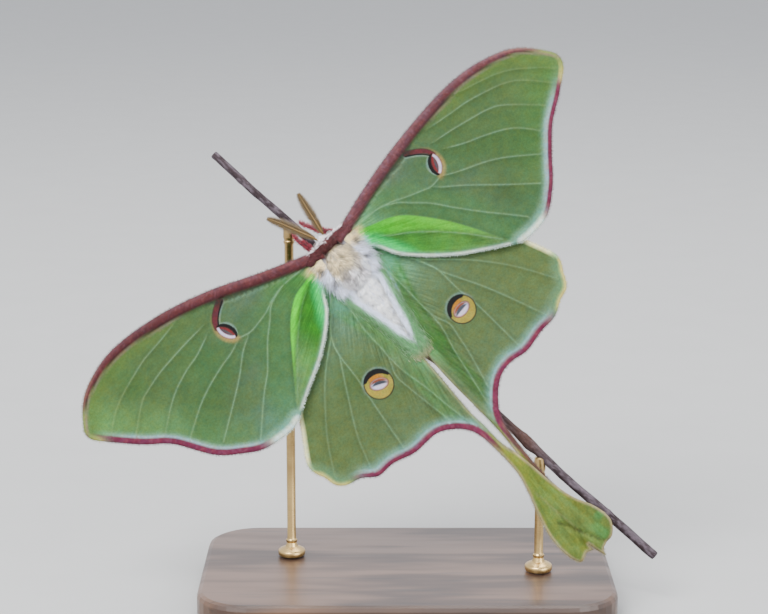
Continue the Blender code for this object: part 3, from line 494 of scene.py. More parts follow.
def offset_line(line, across):
    """The same line moved sideways, + to its left."""
    ahead = np.gradient(line, axis=0)
    normal = np.stack([-ahead[:, 1], ahead[:, 0]], axis=1)
    return line + across * normal / np.linalg.norm(normal, axis=1)[:, None]


low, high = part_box("stand_base")
thorax_root = Vector((
    (low[0] + high[0]) / 2 - BASE_CENTRE[0] * MM,
    (low[1] + high[1]) / 2 - BASE_CENTRE[1] * MM,
    high[2] + BASE_TOP_BELOW_THORAX * MM,
))
MOTH = (
    Matrix.Translation(thorax_root)
    @ Matrix.Rotation(math.radians(90 - LEAN_BACK), 4, "X")
    @ Matrix.Rotation(math.radians(TURN), 4, "Z")
    @ Matrix.Scale(MM, 4)
)


def to_world(points):
    """Places in the moth's frame, in millimetres, as places in the scene."""
    turn = np.array(MOTH.to_3x3())
    return np.asarray(points) @ turn.T + np.array(MOTH.translation)


def linked(name, data):
    """A new object in the scene."""
    obj = bpy.data.objects.new(name, data)
    bpy.context.scene.collection.objects.link(obj)
    return obj


def piece(name, points, faces, material, replaced=()):
    """A smooth mesh piece from places in the moth's frame, riding on the root."""
    mesh = bpy.data.meshes.new(name)
    mesh.from_pydata(to_world(points).tolist(), [], [list(map(int, f)) for f in faces])
    mesh.update()
    mesh.shade_smooth()
    mesh.materials.append(material)
    obj = linked(name, mesh)
    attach(obj, "root")
    if replaced:
        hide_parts(*replaced)
    return obj


def add_colours(mesh, colours):
    """A colour at each point of a mesh."""
    layer = mesh.color_attributes.new("tint", "FLOAT_COLOR", "POINT")
    filled = np.ones((len(mesh.vertices), 4), "f")
    filled[:, :3] = colours
    layer.data.foreach_set("color", filled.ravel())


def add_places(mesh, places, name="place"):
    """The moth's own coordinates at each point, for textures to follow."""
    layer = mesh.attributes.new(name, "FLOAT_VECTOR", "POINT")
    layer.data.foreach_set("vector", np.asarray(places, "f").ravel())


def add_map(mesh, spots):
    """The map that textures are laid out on, with a place for each corner of each face."""
    layer = mesh.uv_layers.new(name="OFBake")
    layer.data.foreach_set("uv", spots.astype("f").ravel())


def read(items, key, kind, width=1):
    """One value of each of a mesh's items, as an array."""
    values = np.empty(len(items) * width, kind)
    items.foreach_get(key, values)
    return values.reshape(-1, width) if width > 1 else values


def stood(sign, x, y, z):
    """Places in the moth's frame, from a wing's own x and y and a height."""
    return np.stack([sign * x, y, z], axis=1)


def closest(points, others):
    """For each point, which of the others is nearest, worked out in stretches."""
    owner = np.empty(len(points), int)
    for start in range(0, len(points), CHUNK):
        gap = points[start:start + CHUNK, None, :] - others[None]
        owner[start:start + CHUNK] = (gap ** 2).sum(2).argmin(1)
    return owner


class Nodes:
    """A short way to write a material's nodes."""

    def __init__(self, name, roughness, specular=0.5, metallic=0.0):
        self.material = bpy.data.materials.new(name)
        self.material.use_nodes = True
        self.tree = self.material.node_tree
        self.shader = self.tree.nodes["Principled BSDF"]
        self.shader.inputs["Roughness"].default_value = roughness
        self.shader.inputs["Specular IOR Level"].default_value = specular
        self.shader.inputs["Metallic"].default_value = metallic

    def node(self, kind, **values):
        made = self.tree.nodes.new(kind)
        for key, value in values.items():
            setattr(made, key, value)
        return made

    def link(self, start, end):
        self.tree.links.new(start, end)

    def feed(self, socket, value):
        if isinstance(value, bpy.types.NodeSocket):
            self.link(value, socket)
        else:
            socket.default_value = value

    def attribute(self, name, output="Vector"):
        return self.node("ShaderNodeAttribute", attribute_name=name).outputs[output]

    def scaled(self, vector, scale):
        made = self.node("ShaderNodeMapping")
        made.inputs["Scale"].default_value = scale
        self.link(vector, made.inputs["Vector"])
        return made.outputs["Vector"]

    def noise(self, vector, scale, detail=3.0, roughness=0.55):
        made = self.node("ShaderNodeTexNoise")
        self.link(vector, made.inputs["Vector"])
        made.inputs["Scale"].default_value = scale
        made.inputs["Detail"].default_value = detail
        made.inputs["Roughness"].default_value = roughness
        return made.outputs["Fac"]

    def cells(self, vector, scale, output="Distance"):
        made = self.node("ShaderNodeTexVoronoi")
        self.link(vector, made.inputs["Vector"])
        made.inputs["Scale"].default_value = scale
        return made.outputs[output]

    def math(self, operation, *values):
        """A sum, product or other operation on values."""
        made = self.node("ShaderNodeMath", operation=operation)
        for socket, value in zip(made.inputs, values):
            self.feed(socket, value)
        return made.outputs[0]

    def ramp(self, value, low, high, start=0.0, stop=1.0):
        made = self.node("ShaderNodeMapRange", clamp=True)
        self.link(value, made.inputs["Value"])
        for socket, number in zip(("From Min", "From Max", "To Min", "To Max"),
                                  (low, high, start, stop)):
            made.inputs[socket].default_value = number
        return made.outputs["Result"]

    def mix(self, share, a, b, how="MIX"):
        made = self.node("ShaderNodeMix", data_type="RGBA", blend_type=how)
        self.feed(made.inputs["Factor"], share)
        self.feed(made.inputs["A"], a)
        self.feed(made.inputs["B"], b)
        return made.outputs["Result"]

    def dimmed(self, colour, value):
        """The colour times a value."""
        return self.mix(1.0, colour, value, "MULTIPLY")

    def bump(self, height, strength, distance):
        made = self.node("ShaderNodeBump")
        made.inputs["Strength"].default_value = strength
        made.inputs["Distance"].default_value = distance
        self.link(height, made.inputs["Height"])
        self.link(made.outputs["Normal"], self.shader.inputs["Normal"])

    def colour(self, value):
        self.feed(self.shader.inputs["Base Color"], value)

    def own_place(self):
        """Places in the object's own frame."""
        return self.node("ShaderNodeTexCoord").outputs["Object"]

    def rough(self, value, low, high, start, stop):
        """Roughness from start to stop as the value goes from low to high."""
        self.link(self.ramp(value, low, high, start, stop), self.shader.inputs["Roughness"])


def wing_material(name):
    """Painted membrane with the grain of its scales and fine streaks from the root."""
    n = Nodes(name, 0.75, 0.1)
    place = n.attribute("place")
    paint = n.attribute("tint", "Color")
    scales = n.ramp(n.noise(place, 2.6, 5.0, 0.8), 0.3, 0.7, 0.74, 1.26)
    patches = n.ramp(n.noise(place, 0.5, 4.0, 0.65), 0.3, 0.7, 0.88, 1.12)
    warmth = n.ramp(n.noise(place, 0.8, 6.0, 0.75), 0.32, 0.68)
    hue = n.mix(warmth, (0.82, 1.0, 1.18, 1.0), (1.18, 1.0, 0.80, 1.0))
    combed = n.ramp(n.noise(n.attribute("streak"), 1.0, 3.0, 0.6), 0.3, 0.7, -0.3, 0.3)
    streaks = n.math("MULTIPLY_ADD", combed, n.attribute("streak_share", "Fac"), 1.0)
    shade = n.math("MULTIPLY", n.math("MULTIPLY", scales, patches), streaks)
    n.colour(n.dimmed(n.dimmed(paint, shade), hue))
    n.rough(scales, 0.74, 1.26, 0.65, 0.85)
    n.bump(n.math("ADD", n.cells(place, 7.0), streaks), 0.25, 0.00006)
    return n.material


def fur_material(name, roughness=0.8, sheen=0.25):
    """Coat coloured by where each tuft grows, with a little change along it."""
    n = Nodes(name, roughness, 0.25)
    place = n.attribute("place")
    tint = n.attribute("tint", "Color")
    clumps = n.ramp(n.noise(place, 2.2, 3.0), 0.3, 0.7, 0.9, 1.1)
    n.colour(n.dimmed(tint, clumps))
    n.rough(clumps, 0.9, 1.1, roughness - 0.1, roughness + 0.08)
    n.shader.inputs["Sheen Weight"].default_value = sheen
    n.bump(n.noise(place, 9.0, 2.0), 0.2, 0.00003)
    return n.material


# Wings

def forewing_height(x, y):
    """How far the forewing stands out over the moth's frame at a place."""
    span = x / FOREWING_LENGTH
    arch = FOREWING_ARCH * span * (1.6 - span)
    behind = np.maximum(0.0, 2.0 + 0.2 * x - y)
    return FOREWING_ROOT_HEIGHT + arch - FOREWING_SLOPE * behind * behind


def hindwing_height(x, y, lift):
    """The same for the hindwing, whose tails part to cross each other."""
    spread = blend(4.0, 22.0, x)
    ripple = RIPPLE * np.sin(0.42 * x + 0.22 * y)
    parting = lift * TAIL_PARTING * blend(37.0, 44.5, -y)
    droop = -TAIL_DROOP * blend(50.0, 70.0, -y) * (1 if lift < 0 else 0.35)
    return HINDWING_ROOT_HEIGHT - HINDWING_DROP * spread + ripple * spread + parting + droop


def thin_out(candidates, taken, spacing):
    """Add the candidates that keep their distance from every point taken so far."""
    cell = 0.5
    buckets = {}
    for i, (x, y) in enumerate(taken):
        buckets.setdefault((int(x // cell), int(y // cell)), []).append(i)
    for (x, y), least in zip(candidates, spacing):
        i, j = int(x // cell), int(y // cell)
        near = (
            k
            for a in (i - 1, i, i + 1)
            for b in (j - 1, j, j + 1)
            for k in buckets.get((a, b), ())
        )
        if all((taken[k][0] - x) ** 2 + (taken[k][1] - y) ** 2 >= least * least for k in near):
            buckets.setdefault((i, j), []).append(len(taken))
            taken.append((x, y))


def eased(rim, corner, reach):
    """The rim with one corner rounded off."""
    rim = rim.copy()
    for _ in range(EASING_ROUNDS):
        near = blend(reach, 0.0, np.hypot(*(rim - corner).T))[:, None] * 0.5
        middle = (np.roll(rim, 1, axis=0) + np.roll(rim, -1, axis=0)) / 2
        rim += near * (middle - rim)
    return rim


def wing_points(wing):
    """The flat mesh of a wing: points, faces and the rim's length."""
    rim = [smooth_line(stretch, RIM_STEP)[:-1] for stretch in wing["stretches"]]
    rim = np.vstack(rim + [np.array(wing["stretches"][-1][-1:])])
    rim = eased(rim, np.array(wing["stretches"][0][-1]), APEX_REACH)
    rng = np.random.default_rng(wing["seed"])
    taken = [tuple(p) for p in rim]
    closed = np.vstack([rim, rim[:1]])

    creases = []
    chains = []
    for vein in (*wing["veins"], *([wing["fold"]] if wing["fore"] else [])):
        line = smooth_line(vein, VEIN_STEP)
        line = line[inside(line, rim)]
        line = line[nearest(line, closed)[0] > VEIN_STOPS_SHORT]
        chain = []
        for p in line:
            gap = np.hypot(*(np.array(taken) - p).T)
            k = int(gap.argmin())
            if gap[k] < LEAST_GAP:
                chain.append(k)
            else:
                chain.append(len(taken))
                taken.append(tuple(p))
        creases.extend((a, b) for a, b in zip(chain, chain[1:]) if a != b)
        chains.append(line)
    crests = chains[:len(wing["veins"])]

    rows = [(p, 0.8 * min(across, RIM_STEP))
            for across in ROWS_IN for s in (1, -1) for p in offset_line(rim, s * across)]
    rows += [(p, VEIN_GAP) for line in chains if len(line) > 2
             for across in VEIN_ROWS for s in (1, -1) for p in offset_line(line, s * across)]
    cx, cy = wing["spot"]
    left, right, bottom, top = FORE_SPOT_BOX if wing["fore"] else HIND_SPOT_BOX
    rows += [((cx + u, cy + v), SPOT_STEP * 0.8) for u in np.arange(left, right, SPOT_STEP)
             for v in np.arange(bottom, top, SPOT_STEP)]
    low, high = rim.min(0), rim.max(0)
    for j, y in enumerate(np.arange(low[1], high[1], FILL_STEP * 0.87)):
        for x in np.arange(low[0] + (j % 2) * FILL_STEP / 2, high[0], FILL_STEP):
            jitter = rng.uniform(-0.1, 0.1, 2) * FILL_STEP
            rows.append(((x + jitter[0], y + jitter[1]), FILL_STEP * 0.66))
    places = np.array([r[0] for r in rows])
    least = np.array([r[1] for r in rows])
    kept = inside(places, rim)
    places, least = places[kept], least[kept]
    away = nearest(places, closed)[0]
    kept = away > LEAST_GAP
    thin_out(places[kept].tolist(), taken, least[kept])

    flat, _, faces, _, _, _ = delaunay_2d_cdt(
        [Vector(p) for p in taken], creases, [list(range(len(rim)))], 1, 1e-5)
    return np.array([tuple(p) for p in flat]), faces, closed, crests


def make_wing(wing):
    """One wing: a closed sheet, thin at its rim, with raised veins and its paint."""
    flat, faces, closed, crests = wing_points(wing)
    x, y = flat[:, 0], flat[:, 1]
    sign = wing["sign"]
    fore = wing["fore"]
    rim = nearest(flat, closed)[0]
    vein = np.full(len(flat), 9.0)
    fade = np.zeros(len(flat))
    for line in crests:
        away, share, _ = nearest(flat, line)
        closer = away < vein
        vein[closer] = away[closer]
        fade[closer] = share[closer]
    fields = {"x": x, "y": y, "rim": rim, "vein": vein, "fade": fade}
    for name, stretch in (("front", 0), ("outer", 1), ("inner", -1)):
        fields[name] = nearest(flat, smooth_line(wing["stretches"][stretch], COARSE_STEP))[0]
    edge = blend(0.0, 0.12, rim)
    thick = MEMBRANE + VEIN_RISE * (1 - 0.55 * fade) * np.maximum(0, 1 - vein / 0.3)
    if fore:
        height = forewing_height(x, y)
        for name, line in (("fold", wing["fold"]), ("panel", wing["veins"][-1])):
            fields[name] = np.prod(nearest(flat, smooth_line(line, COARSE_STEP))[::2], axis=0)
        fields["costa"] = np.interp(x * 51.0 / wing["reach"], *COSTA_WIDTHS)
        across = fields["front"] / fields["costa"]
        rope = np.sqrt(np.clip(1 - (2 * across - 1) ** 2, 0, 1))
        thick = np.maximum(thick, COSTA_RISE * rope * (fields["costa"] / 1.9))
        crease = fields["fold"]
        inboard = blend(25, 20, x) * blend(6, 10, x)
        height = height - FOLD_DIP * bell(crease + 0.3, 0.5) * inboard
        height = height + FOLD_RIDGE * bell(crease - 1.0, 0.9) * inboard
    else:
        height = hindwing_height(x, y, wing["lift"])
        pleats = np.sin(fields["inner"] * 3.1 + 0.4) * blend(5.5, 2.5, fields["inner"])
        height = height + PLEAT_RISE * pleats * blend(-8, -13, y) * blend(-40, -32, y)
        height = height + tail_relief(x, y, wing)
    sag = 1 - bell(vein, 1.3)
    height = height - SAG * sag + DRAPE * lattice_noise(x, y, 3.1, wing["seed"])
    ruffle = lattice_noise(x * 0.6, y * 0.6, 1.4, wing["seed"] + 1)
    height = height + RUFFLE * ruffle * blend(2.5, 0.3, fields["outer"])

    paint = paint_forewing(wing, fields) if fore else paint_hindwing(wing, fields)
    count = len(flat)
    on_rim = rim < 1e-4
    top = stood(sign, x, y, height + ABOVE * thick * edge)
    bottom = stood(sign, x, y, height - BELOW * thick * edge)
    under = np.arange(count)
    under[~on_rim] = count + np.arange((~on_rim).sum())
    points = np.vstack([top, bottom[~on_rim]])
    upper = [f if sign > 0 else f[::-1] for f in faces]
    lower = [[int(under[i]) for i in reversed(f)] for f in upper]
    lower = [f for f in lower if len(set(f)) == len(f)]
    mesh = piece(wing["name"] + "_scaled", points, upper + lower, wing["material"],
                 (wing["name"],)).data
    add_colours(mesh, pigment(np.vstack([paint, paint[~on_rim]])))
    places = np.stack([x, y, np.zeros(count)], axis=1)
    add_places(mesh, np.vstack([places, places[~on_rim]]))
    angle = np.arctan2(y - 1.0, x + 3.0)
    reach = np.hypot(x + 3.0, y - 1.0)
    streak = np.stack([angle * 55, reach * 0.16, np.zeros(count)], axis=1)
    add_places(mesh, np.vstack([streak, streak[~on_rim]]), "streak")
    combed = blend(20, 6, reach) if fore else blend(9, 3, fields["inner"]) + blend(24, 10, reach)
    combed = combed + (0 if fore else 0.7 * blend(-42, -48, y))
    combed = np.clip(0.12 + combed + (0.6 * blend(-0.1, 0.4, fields["fold"]) if fore else 0), 0, 1)
    layer = mesh.attributes.new("streak_share", "FLOAT", "POINT")
    layer.data.foreach_set("value", np.concatenate([combed, combed[~on_rim]]).astype("f"))

    low_corner = flat.min(0)
    extent = flat.max(0) - low_corner

    def to_map(places):
        """Places on one half of the wing's map; the other half holds the underside."""
        return (places - low_corner) / extent.max() * 0.48 + 0.01

    both = np.vstack([flat, flat[~on_rim]])
    spots = to_map(both[read(mesh.loops, "vertex_index", int)])
    underside = read(mesh.polygons, "loop_start", int)[len(upper)]
    spots[underside:, 0 if extent.argmax() else 1] += 0.5
    add_map(mesh, spots)
    wing["closed"] = closed
    wing["rim_data"] = (flat[on_rim], height[on_rim], paint[on_rim])
    wing["to_map"] = to_map


def tail_relief(x, y, wing):
    """Creases and crumples of the tail's end."""
    far = blend(-52, -62, y)
    if wing["sign"] > 0:
        return 0.25 * np.sin(1.3 * x + 0.25 * y) * far
    crumple = 0.35 * np.abs(lattice_noise(x + 0.35 * y, y * 0.5, 2.0, 17)) * far
    crease = 0.5 * bell(x - 2.9 - 0.5 * (y + 60.5), 0.35) * blend(-60, -61.5, y)
    fold = 0.45 * bell(x + 0.1 + 0.9 * (y + 62.0), 0.6) * blend(-58, -60, y)
    curl = 0.5 * blend(-65.0, -68.5, y) * np.sin(1.9 * x + 1.0)
    return crumple - crease + fold + curl


def oval(fields, centre, half, lean):
    """How far out of an oval each point is, in millimetres, with its long side leaning outward."""
    u = fields["x"] - centre[0]
    v = fields["y"] - centre[1]
    c, s = math.cos(lean), math.sin(lean)
    across, along = c * u - s * v, s * u + c * v
    q = np.hypot(across / half[0], along / half[1])
    return (q - 1) * min(half)


def within(gap, soft=0.07):
    """1 inside a shape and 0 outside, with a soft edge."""
    return blend(soft, -soft, gap)


# In the paint that follows, numbers beside x, y and the distances are millimetres on the wing, and
# a number in front is how strongly a colour is laid.

def shaded_patches(paint, wing, x, y):
    """Soft lighter and darker patches of the wing's ground, each a place, a size and a tint."""
    for at_x, at_y, size, tint in wing["patches"]:
        near = np.exp(-((x - at_x) ** 2 + (y - at_y) ** 2) / size ** 2)
        paint = paint * (1 + (np.array(tint) - 1) * near[:, None])
    return paint


def paint_forewing(wing, f):
    """The forewing's ground, bright hind panel, veins, margins, costa and eyespot."""
    x, y = f["x"], f["y"]
    paint = lay(ink("sage"), "meadow", blend(15, 30, x + 0.5 * y))
    paint = lay(paint, "apex", blend(32, 50, x) * 0.85)
    paint = lay(paint, "root", blend(15, 6, x), wing["root_light"])
    paint = paint * (1 + wing["margin_light"] * blend(9, 3, f["outer"])[:, None])
    paint = shaded_patches(paint, wing, x, y)
    blotch = lattice_noise(x, y, 4.5, 5)
    paint = lay(paint, "apex", 0.4 * blend(0.1, 0.8, blotch) * blend(20, 28, x))
    paint = lay(paint, "meadow", 0.4 * blend(0.1, 0.8, -blotch), (0.8, 1.05, 0.8))
    beside = blend(5.0, 1.0, np.abs(f["fold"] + 2.5)) * blend(7, 12, x) * blend(30, 22, x)
    paint = lay(paint, "leaf", 0.6 * beside, (1.25, 0.85, 1.5))

    behind = within(-f["fold"], 0.1) * blend(26.5, 23, x)
    along = blend(7.0, 13.0, x)
    strip = lay(ink("leaf") * (1.2, 1.35, 1.1), "lime", along)
    strip = lay(strip, "lime", blend(12, 18, x), (1.12, 0.98, 1.1))
    panel = lay(ink("leaf") * wing["panel_light"], "panel", blend(11, 18, x), wing["panel_mid_light"])
    panel = lay(panel, "panel", 0.6 * blend(1.8, 0.6, f["inner"]) * blend(10, 14, x))
    panel = panel * (1 + 0.10 * lattice_noise(x, y, 1.6, 90)[:, None])
    strip = strip * wing["strip_light"]
    lit = cover(strip, panel, blend(-0.9, 0.1, f["panel"]))
    # Painted shadow: a darker green line beside the panel's vein near the root
    strip_edge_shadow = bell(f["panel"] - 0.45, 0.35) * blend(16, 11, x)
    lit = lay(lit, "leaf", 0.4 * strip_edge_shadow, 0.8)
    lit = lay(lit, "teal", blend(2.8, 0.9, f["inner"]) * blend(11.5, 8.5, x))
    lit = lay(lit, "panel", blend(17, 25, x) * 0.85, wing["panel_low_light"])
    shadow = bell(f["fold"] + 0.3, 0.3) * blend(7, 11, x) * blend(25, 21, x)
    paint = paint * (1 - (0.2, 0.1, 0.25) * shadow[:, None])
    paint = cover(paint, lit, behind)
    root = blend(6.6, 4.6, x + 0.5 * lattice_noise(x, y, 0.5, 6) - 0.5 * blend(-1.6, -0.8, y))
    paint = lay(paint, "fur_tan", 0.8 * root * blend(-2.6, -1.6, y) * blend(0.4, -0.2, y))
    paint = lay(paint, "frost_bright", 0.8 * root * blend(-1.6, -2.6, y), 1.2)
    paint = lay(paint, "fur_lavender", blend(5.2, 4.5, x) * blend(0.2, -0.6, y), 0.8)
    mark = bell(x - 4.1, 0.35) * bell(y + 1.9, 0.9)
    paint = lay(paint, "fur_olive", 0.9 * mark, 0.6)

    line = bell(f["vein"], 0.13)
    # Painted shade: the ground darkens a little just beside each raised vein
    side = bell(f["vein"] - 0.4, 0.2)
    paint = paint * (1 - 0.08 * side[:, None])
    outward = blend(32, 46, x)
    pale = lay(ink("vein"), "vein_warm", outward, wing["vein_light"])
    strength = wing["vein_strength"] * (1 - 0.45 * outward) * blend(0.0, 0.12, f["fade"])
    strength = strength * (1 - wing["panel_fade"] * bell(f["panel"], 0.6))
    paint = cover(paint, pale, line * strength * blend(0.6, 1.8, f["outer"]))

    hem = blend(0.44, 0.18, f["inner"]) * blend(4.5, 7, x)
    paint = lay(paint, "frost", 0.5 * blend(1.0, 0.5, f["inner"]) * blend(4.5, 7, x))
    paint = lay(paint, "bone", hem)
    torn = wing["tornus"]
    start, stop = wing["red_start"]
    red = blend(torn - 1.5, torn + 2.0, x) * blend(stop, start, x)
    near_tip = blend(start - 5, stop, x)
    width = wing["red_width"] + 0.05 * lattice_noise(x, y, 0.9, 9)
    glow = blend(2.3, 1.1, f["outer"]) * (0.3 + 0.65 * red) * (1 - near_tip)
    paint = lay(paint, "frost", glow)
    edging = blend(0.75, 0.15, f["outer"] - width) * red * (1 - near_tip)
    paint = lay(paint, "frost_bright", 0.9 * edging)
    paint = lay(paint, "frost", blend(2.6, 1.0, f["outer"]) * (1 - red) * blend(torn + 3, torn, x))
    paint = lay(paint, "bone", blend(1.2, 0.6, f["outer"]) * (1 - red) * blend(torn + 4, torn, x))
    band = lay(ink("crimson"), "pink", 0.35 * patchy(0.0, 0.7, x, y, 0.3, 19))
    paint = cover(paint, band, blend(0.1, -0.1, f["outer"] - width) * red)
    past = blend(wing["rope_end"] - 1.5, wing["rope_end"] + 0.2, x)
    tip = blend(start - 1.0, start + 1.0, x) * blend(0.0, -2.0, y - 6.0)
    tip = np.maximum(tip, past * blend(1.5, 0.7, f["front"]))
    paint = lay(paint, "mint", 0.4 * np.maximum(past, tip) * blend(2.6, 0.6, f["rim"]), (1.0, 0.85, 0.9))
    paint = lay(paint, "cream", tip * blend(0.95, 0.4, f["rim"]))

    band = f["costa"]
    off = f["front"] - band
    sunny = blend(3.5, 0.5, off) * blend(24, 34, x)
    paint = lay(paint, "apex", 0.6 * sunny, (1.05, 1.0, 0.7))
    paint = lay(paint, "spot_pink", 0.5 * bell(off - 0.2, 0.2) * blend(24, 30, x), 0.8)
    gap = np.interp(x, (4, 7, 12, 18, 21, 23), (0.05, 0.12, 0.3, 0.75, 0.6, 0.0))
    # Painted shadow: a dark olive band just under the raised costa, as wide as the gap
    costa_shadow_band = within(off - gap, 0.1) * blend(4, 7, x) * blend(23, 21, x)
    paint = lay(paint, "costa_shadow", 0.75 * costa_shadow_band)
    thread = bell(off - gap - 0.2, 0.2) * blend(4, 7, x) * blend(20.5, 19, x)
    paint = lay(paint, "vein", 0.4 * thread)
    across = f["front"] / band
    rope = lay(ink("rose"), "maroon", 0.3 + 0.7 * blend(0.05, 0.5, across))
    speck = patchy(0.1, 0.7, x, y, 0.24, 4) * blend(0.95, 0.4, across)
    rope = lay(rope, "rose", 0.5 * speck, 1.15)
    rope = lay(rope, "maroon", 0.5 * patchy(0.1, 0.7, x, y, 0.33, 14), 0.6)
    rope = lay(rope, "umber", 0.7 * blend(0.7, 0.98, across))
    rope = rope * wing["rope_light"] * (1 - 0.15 * bell(x - 31, 5))[:, None]
    rope = lay(rope, "cream", 0.45 * blend(40, 50, x) * blend(0.5, 0.0, across), (1.0, 0.7, 0.7))
    shade = bell(off - 0.15, 0.25) * blend(30, 24, x)
    paint = paint * (1 - 0.3 * shade[:, None])
    paint = cover(paint, rope, within(off, 0.12) * (1 - past))
    return paint_leaning_spot(wing, f, paint)


def paint_leaning_spot(wing, f, paint):
    """The forewing's almond eyespot and the stalk that ties it to the costa."""
    cx, cy = wing["spot"]
    at = np.stack([f["x"] - cx, f["y"] - cy], axis=1)
    along, across = at @ (0.37, 0.929), at @ (0.929, -0.37)
    narrow = np.sqrt(np.clip(1 - (along / 1.98) ** 2, 0.0, 1.0)) ** 1.3
    layer = across / np.maximum(narrow, 0.06)
    almond = within(np.abs(along) - 1.95, 0.08)
    off_costa = blend(-0.1, 0.2, f["front"] - f["costa"])
    core = smooth_line(((-2.5, 4.6), (-1.0, 3.8), (0.0, 3.05), (0.6, 2.3), (0.95, 1.5)), 0.2)
    far, share, _ = nearest(at, core)
    edge = smooth_line(((-2.75, 4.3), (-1.35, 3.42), (-0.4, 2.65), (0.2, 1.95), (0.42, 1.5)), 0.2)
    dark, _, _ = nearest(at, edge)
    half = wing["stalk_half"] * (1.3 - 0.45 * share)

    ring = np.hypot(across / 1.72, (along + 0.15) / 2.45)
    outside = within((ring - 1) * 1.6, 0.32) * blend(-0.6, 0.2, across)
    paint = lay(paint, "halo", 0.7 * within(dark - 0.34, 0.2) * off_costa * blend(0.6, 0.2, at[:, 0]))
    paint = lay(paint, "halo", 0.75 * almond * blend(-1.7, -1.2, layer) * blend(0.0, -0.5, across))
    paint = lay(paint, "spot_tan", 0.85 * outside)
    paint = lay(paint, "spot_tan", 0.6 * within(far - half - 0.3, 0.25) * blend(0.35, 0.7, share), 0.8)
    paint = lay(paint, "umber", 0.9 * within(far - half - 0.12, 0.12) * off_costa, 1.6)
    red = lay(ink("umber") * 1.5, "stalk", blend(0.05, 0.4, share))
    red = lay(red, "spot_brown", 0.7 * patchy(0.0, 0.7, f["x"], f["y"], 0.3, 15))
    paint = cover(paint, red, within(far - half, 0.12) * off_costa)
    paint = lay(paint, "black", within(dark - 0.12, 0.08) * off_costa)

    paint = lay(paint, "black", almond * blend(-1.2, -1.08, layer) * within(layer - 1.12, 0.1))

    def almond_gap(centre, half, reach):
        """How far out of a pointed oval each point is."""
        bow = np.clip(1 - (along / reach) ** 2, 0.0, 1.0) ** 0.75
        gap = (np.abs(across - centre) / np.maximum(bow, 0.05) - half) * bow
        return gap + within(-np.abs(along) + reach, 0.05)

    inner = almond_gap(0.33, 0.84, 1.85)
    paint = lay(paint, "spot_brown", within(inner, 0.07), 2.2)
    paint = lay(paint, "spot_pink", within(inner + 0.07, 0.06))
    paint = lay(paint, "spot_white", within(inner + 0.16, 0.08) * blend(-0.1, 0.2, across))
    heart = almond_gap(0.02, 0.5, 1.5)
    paint = lay(paint, "spot_brown", within(heart, 0.07))
    paint = lay(paint, "spot_red", within(heart + 0.08, 0.07))
    paint = lay(paint, "spot_grey", within(almond_gap(0.16, 0.2, 1.2), 0.06))
    return paint


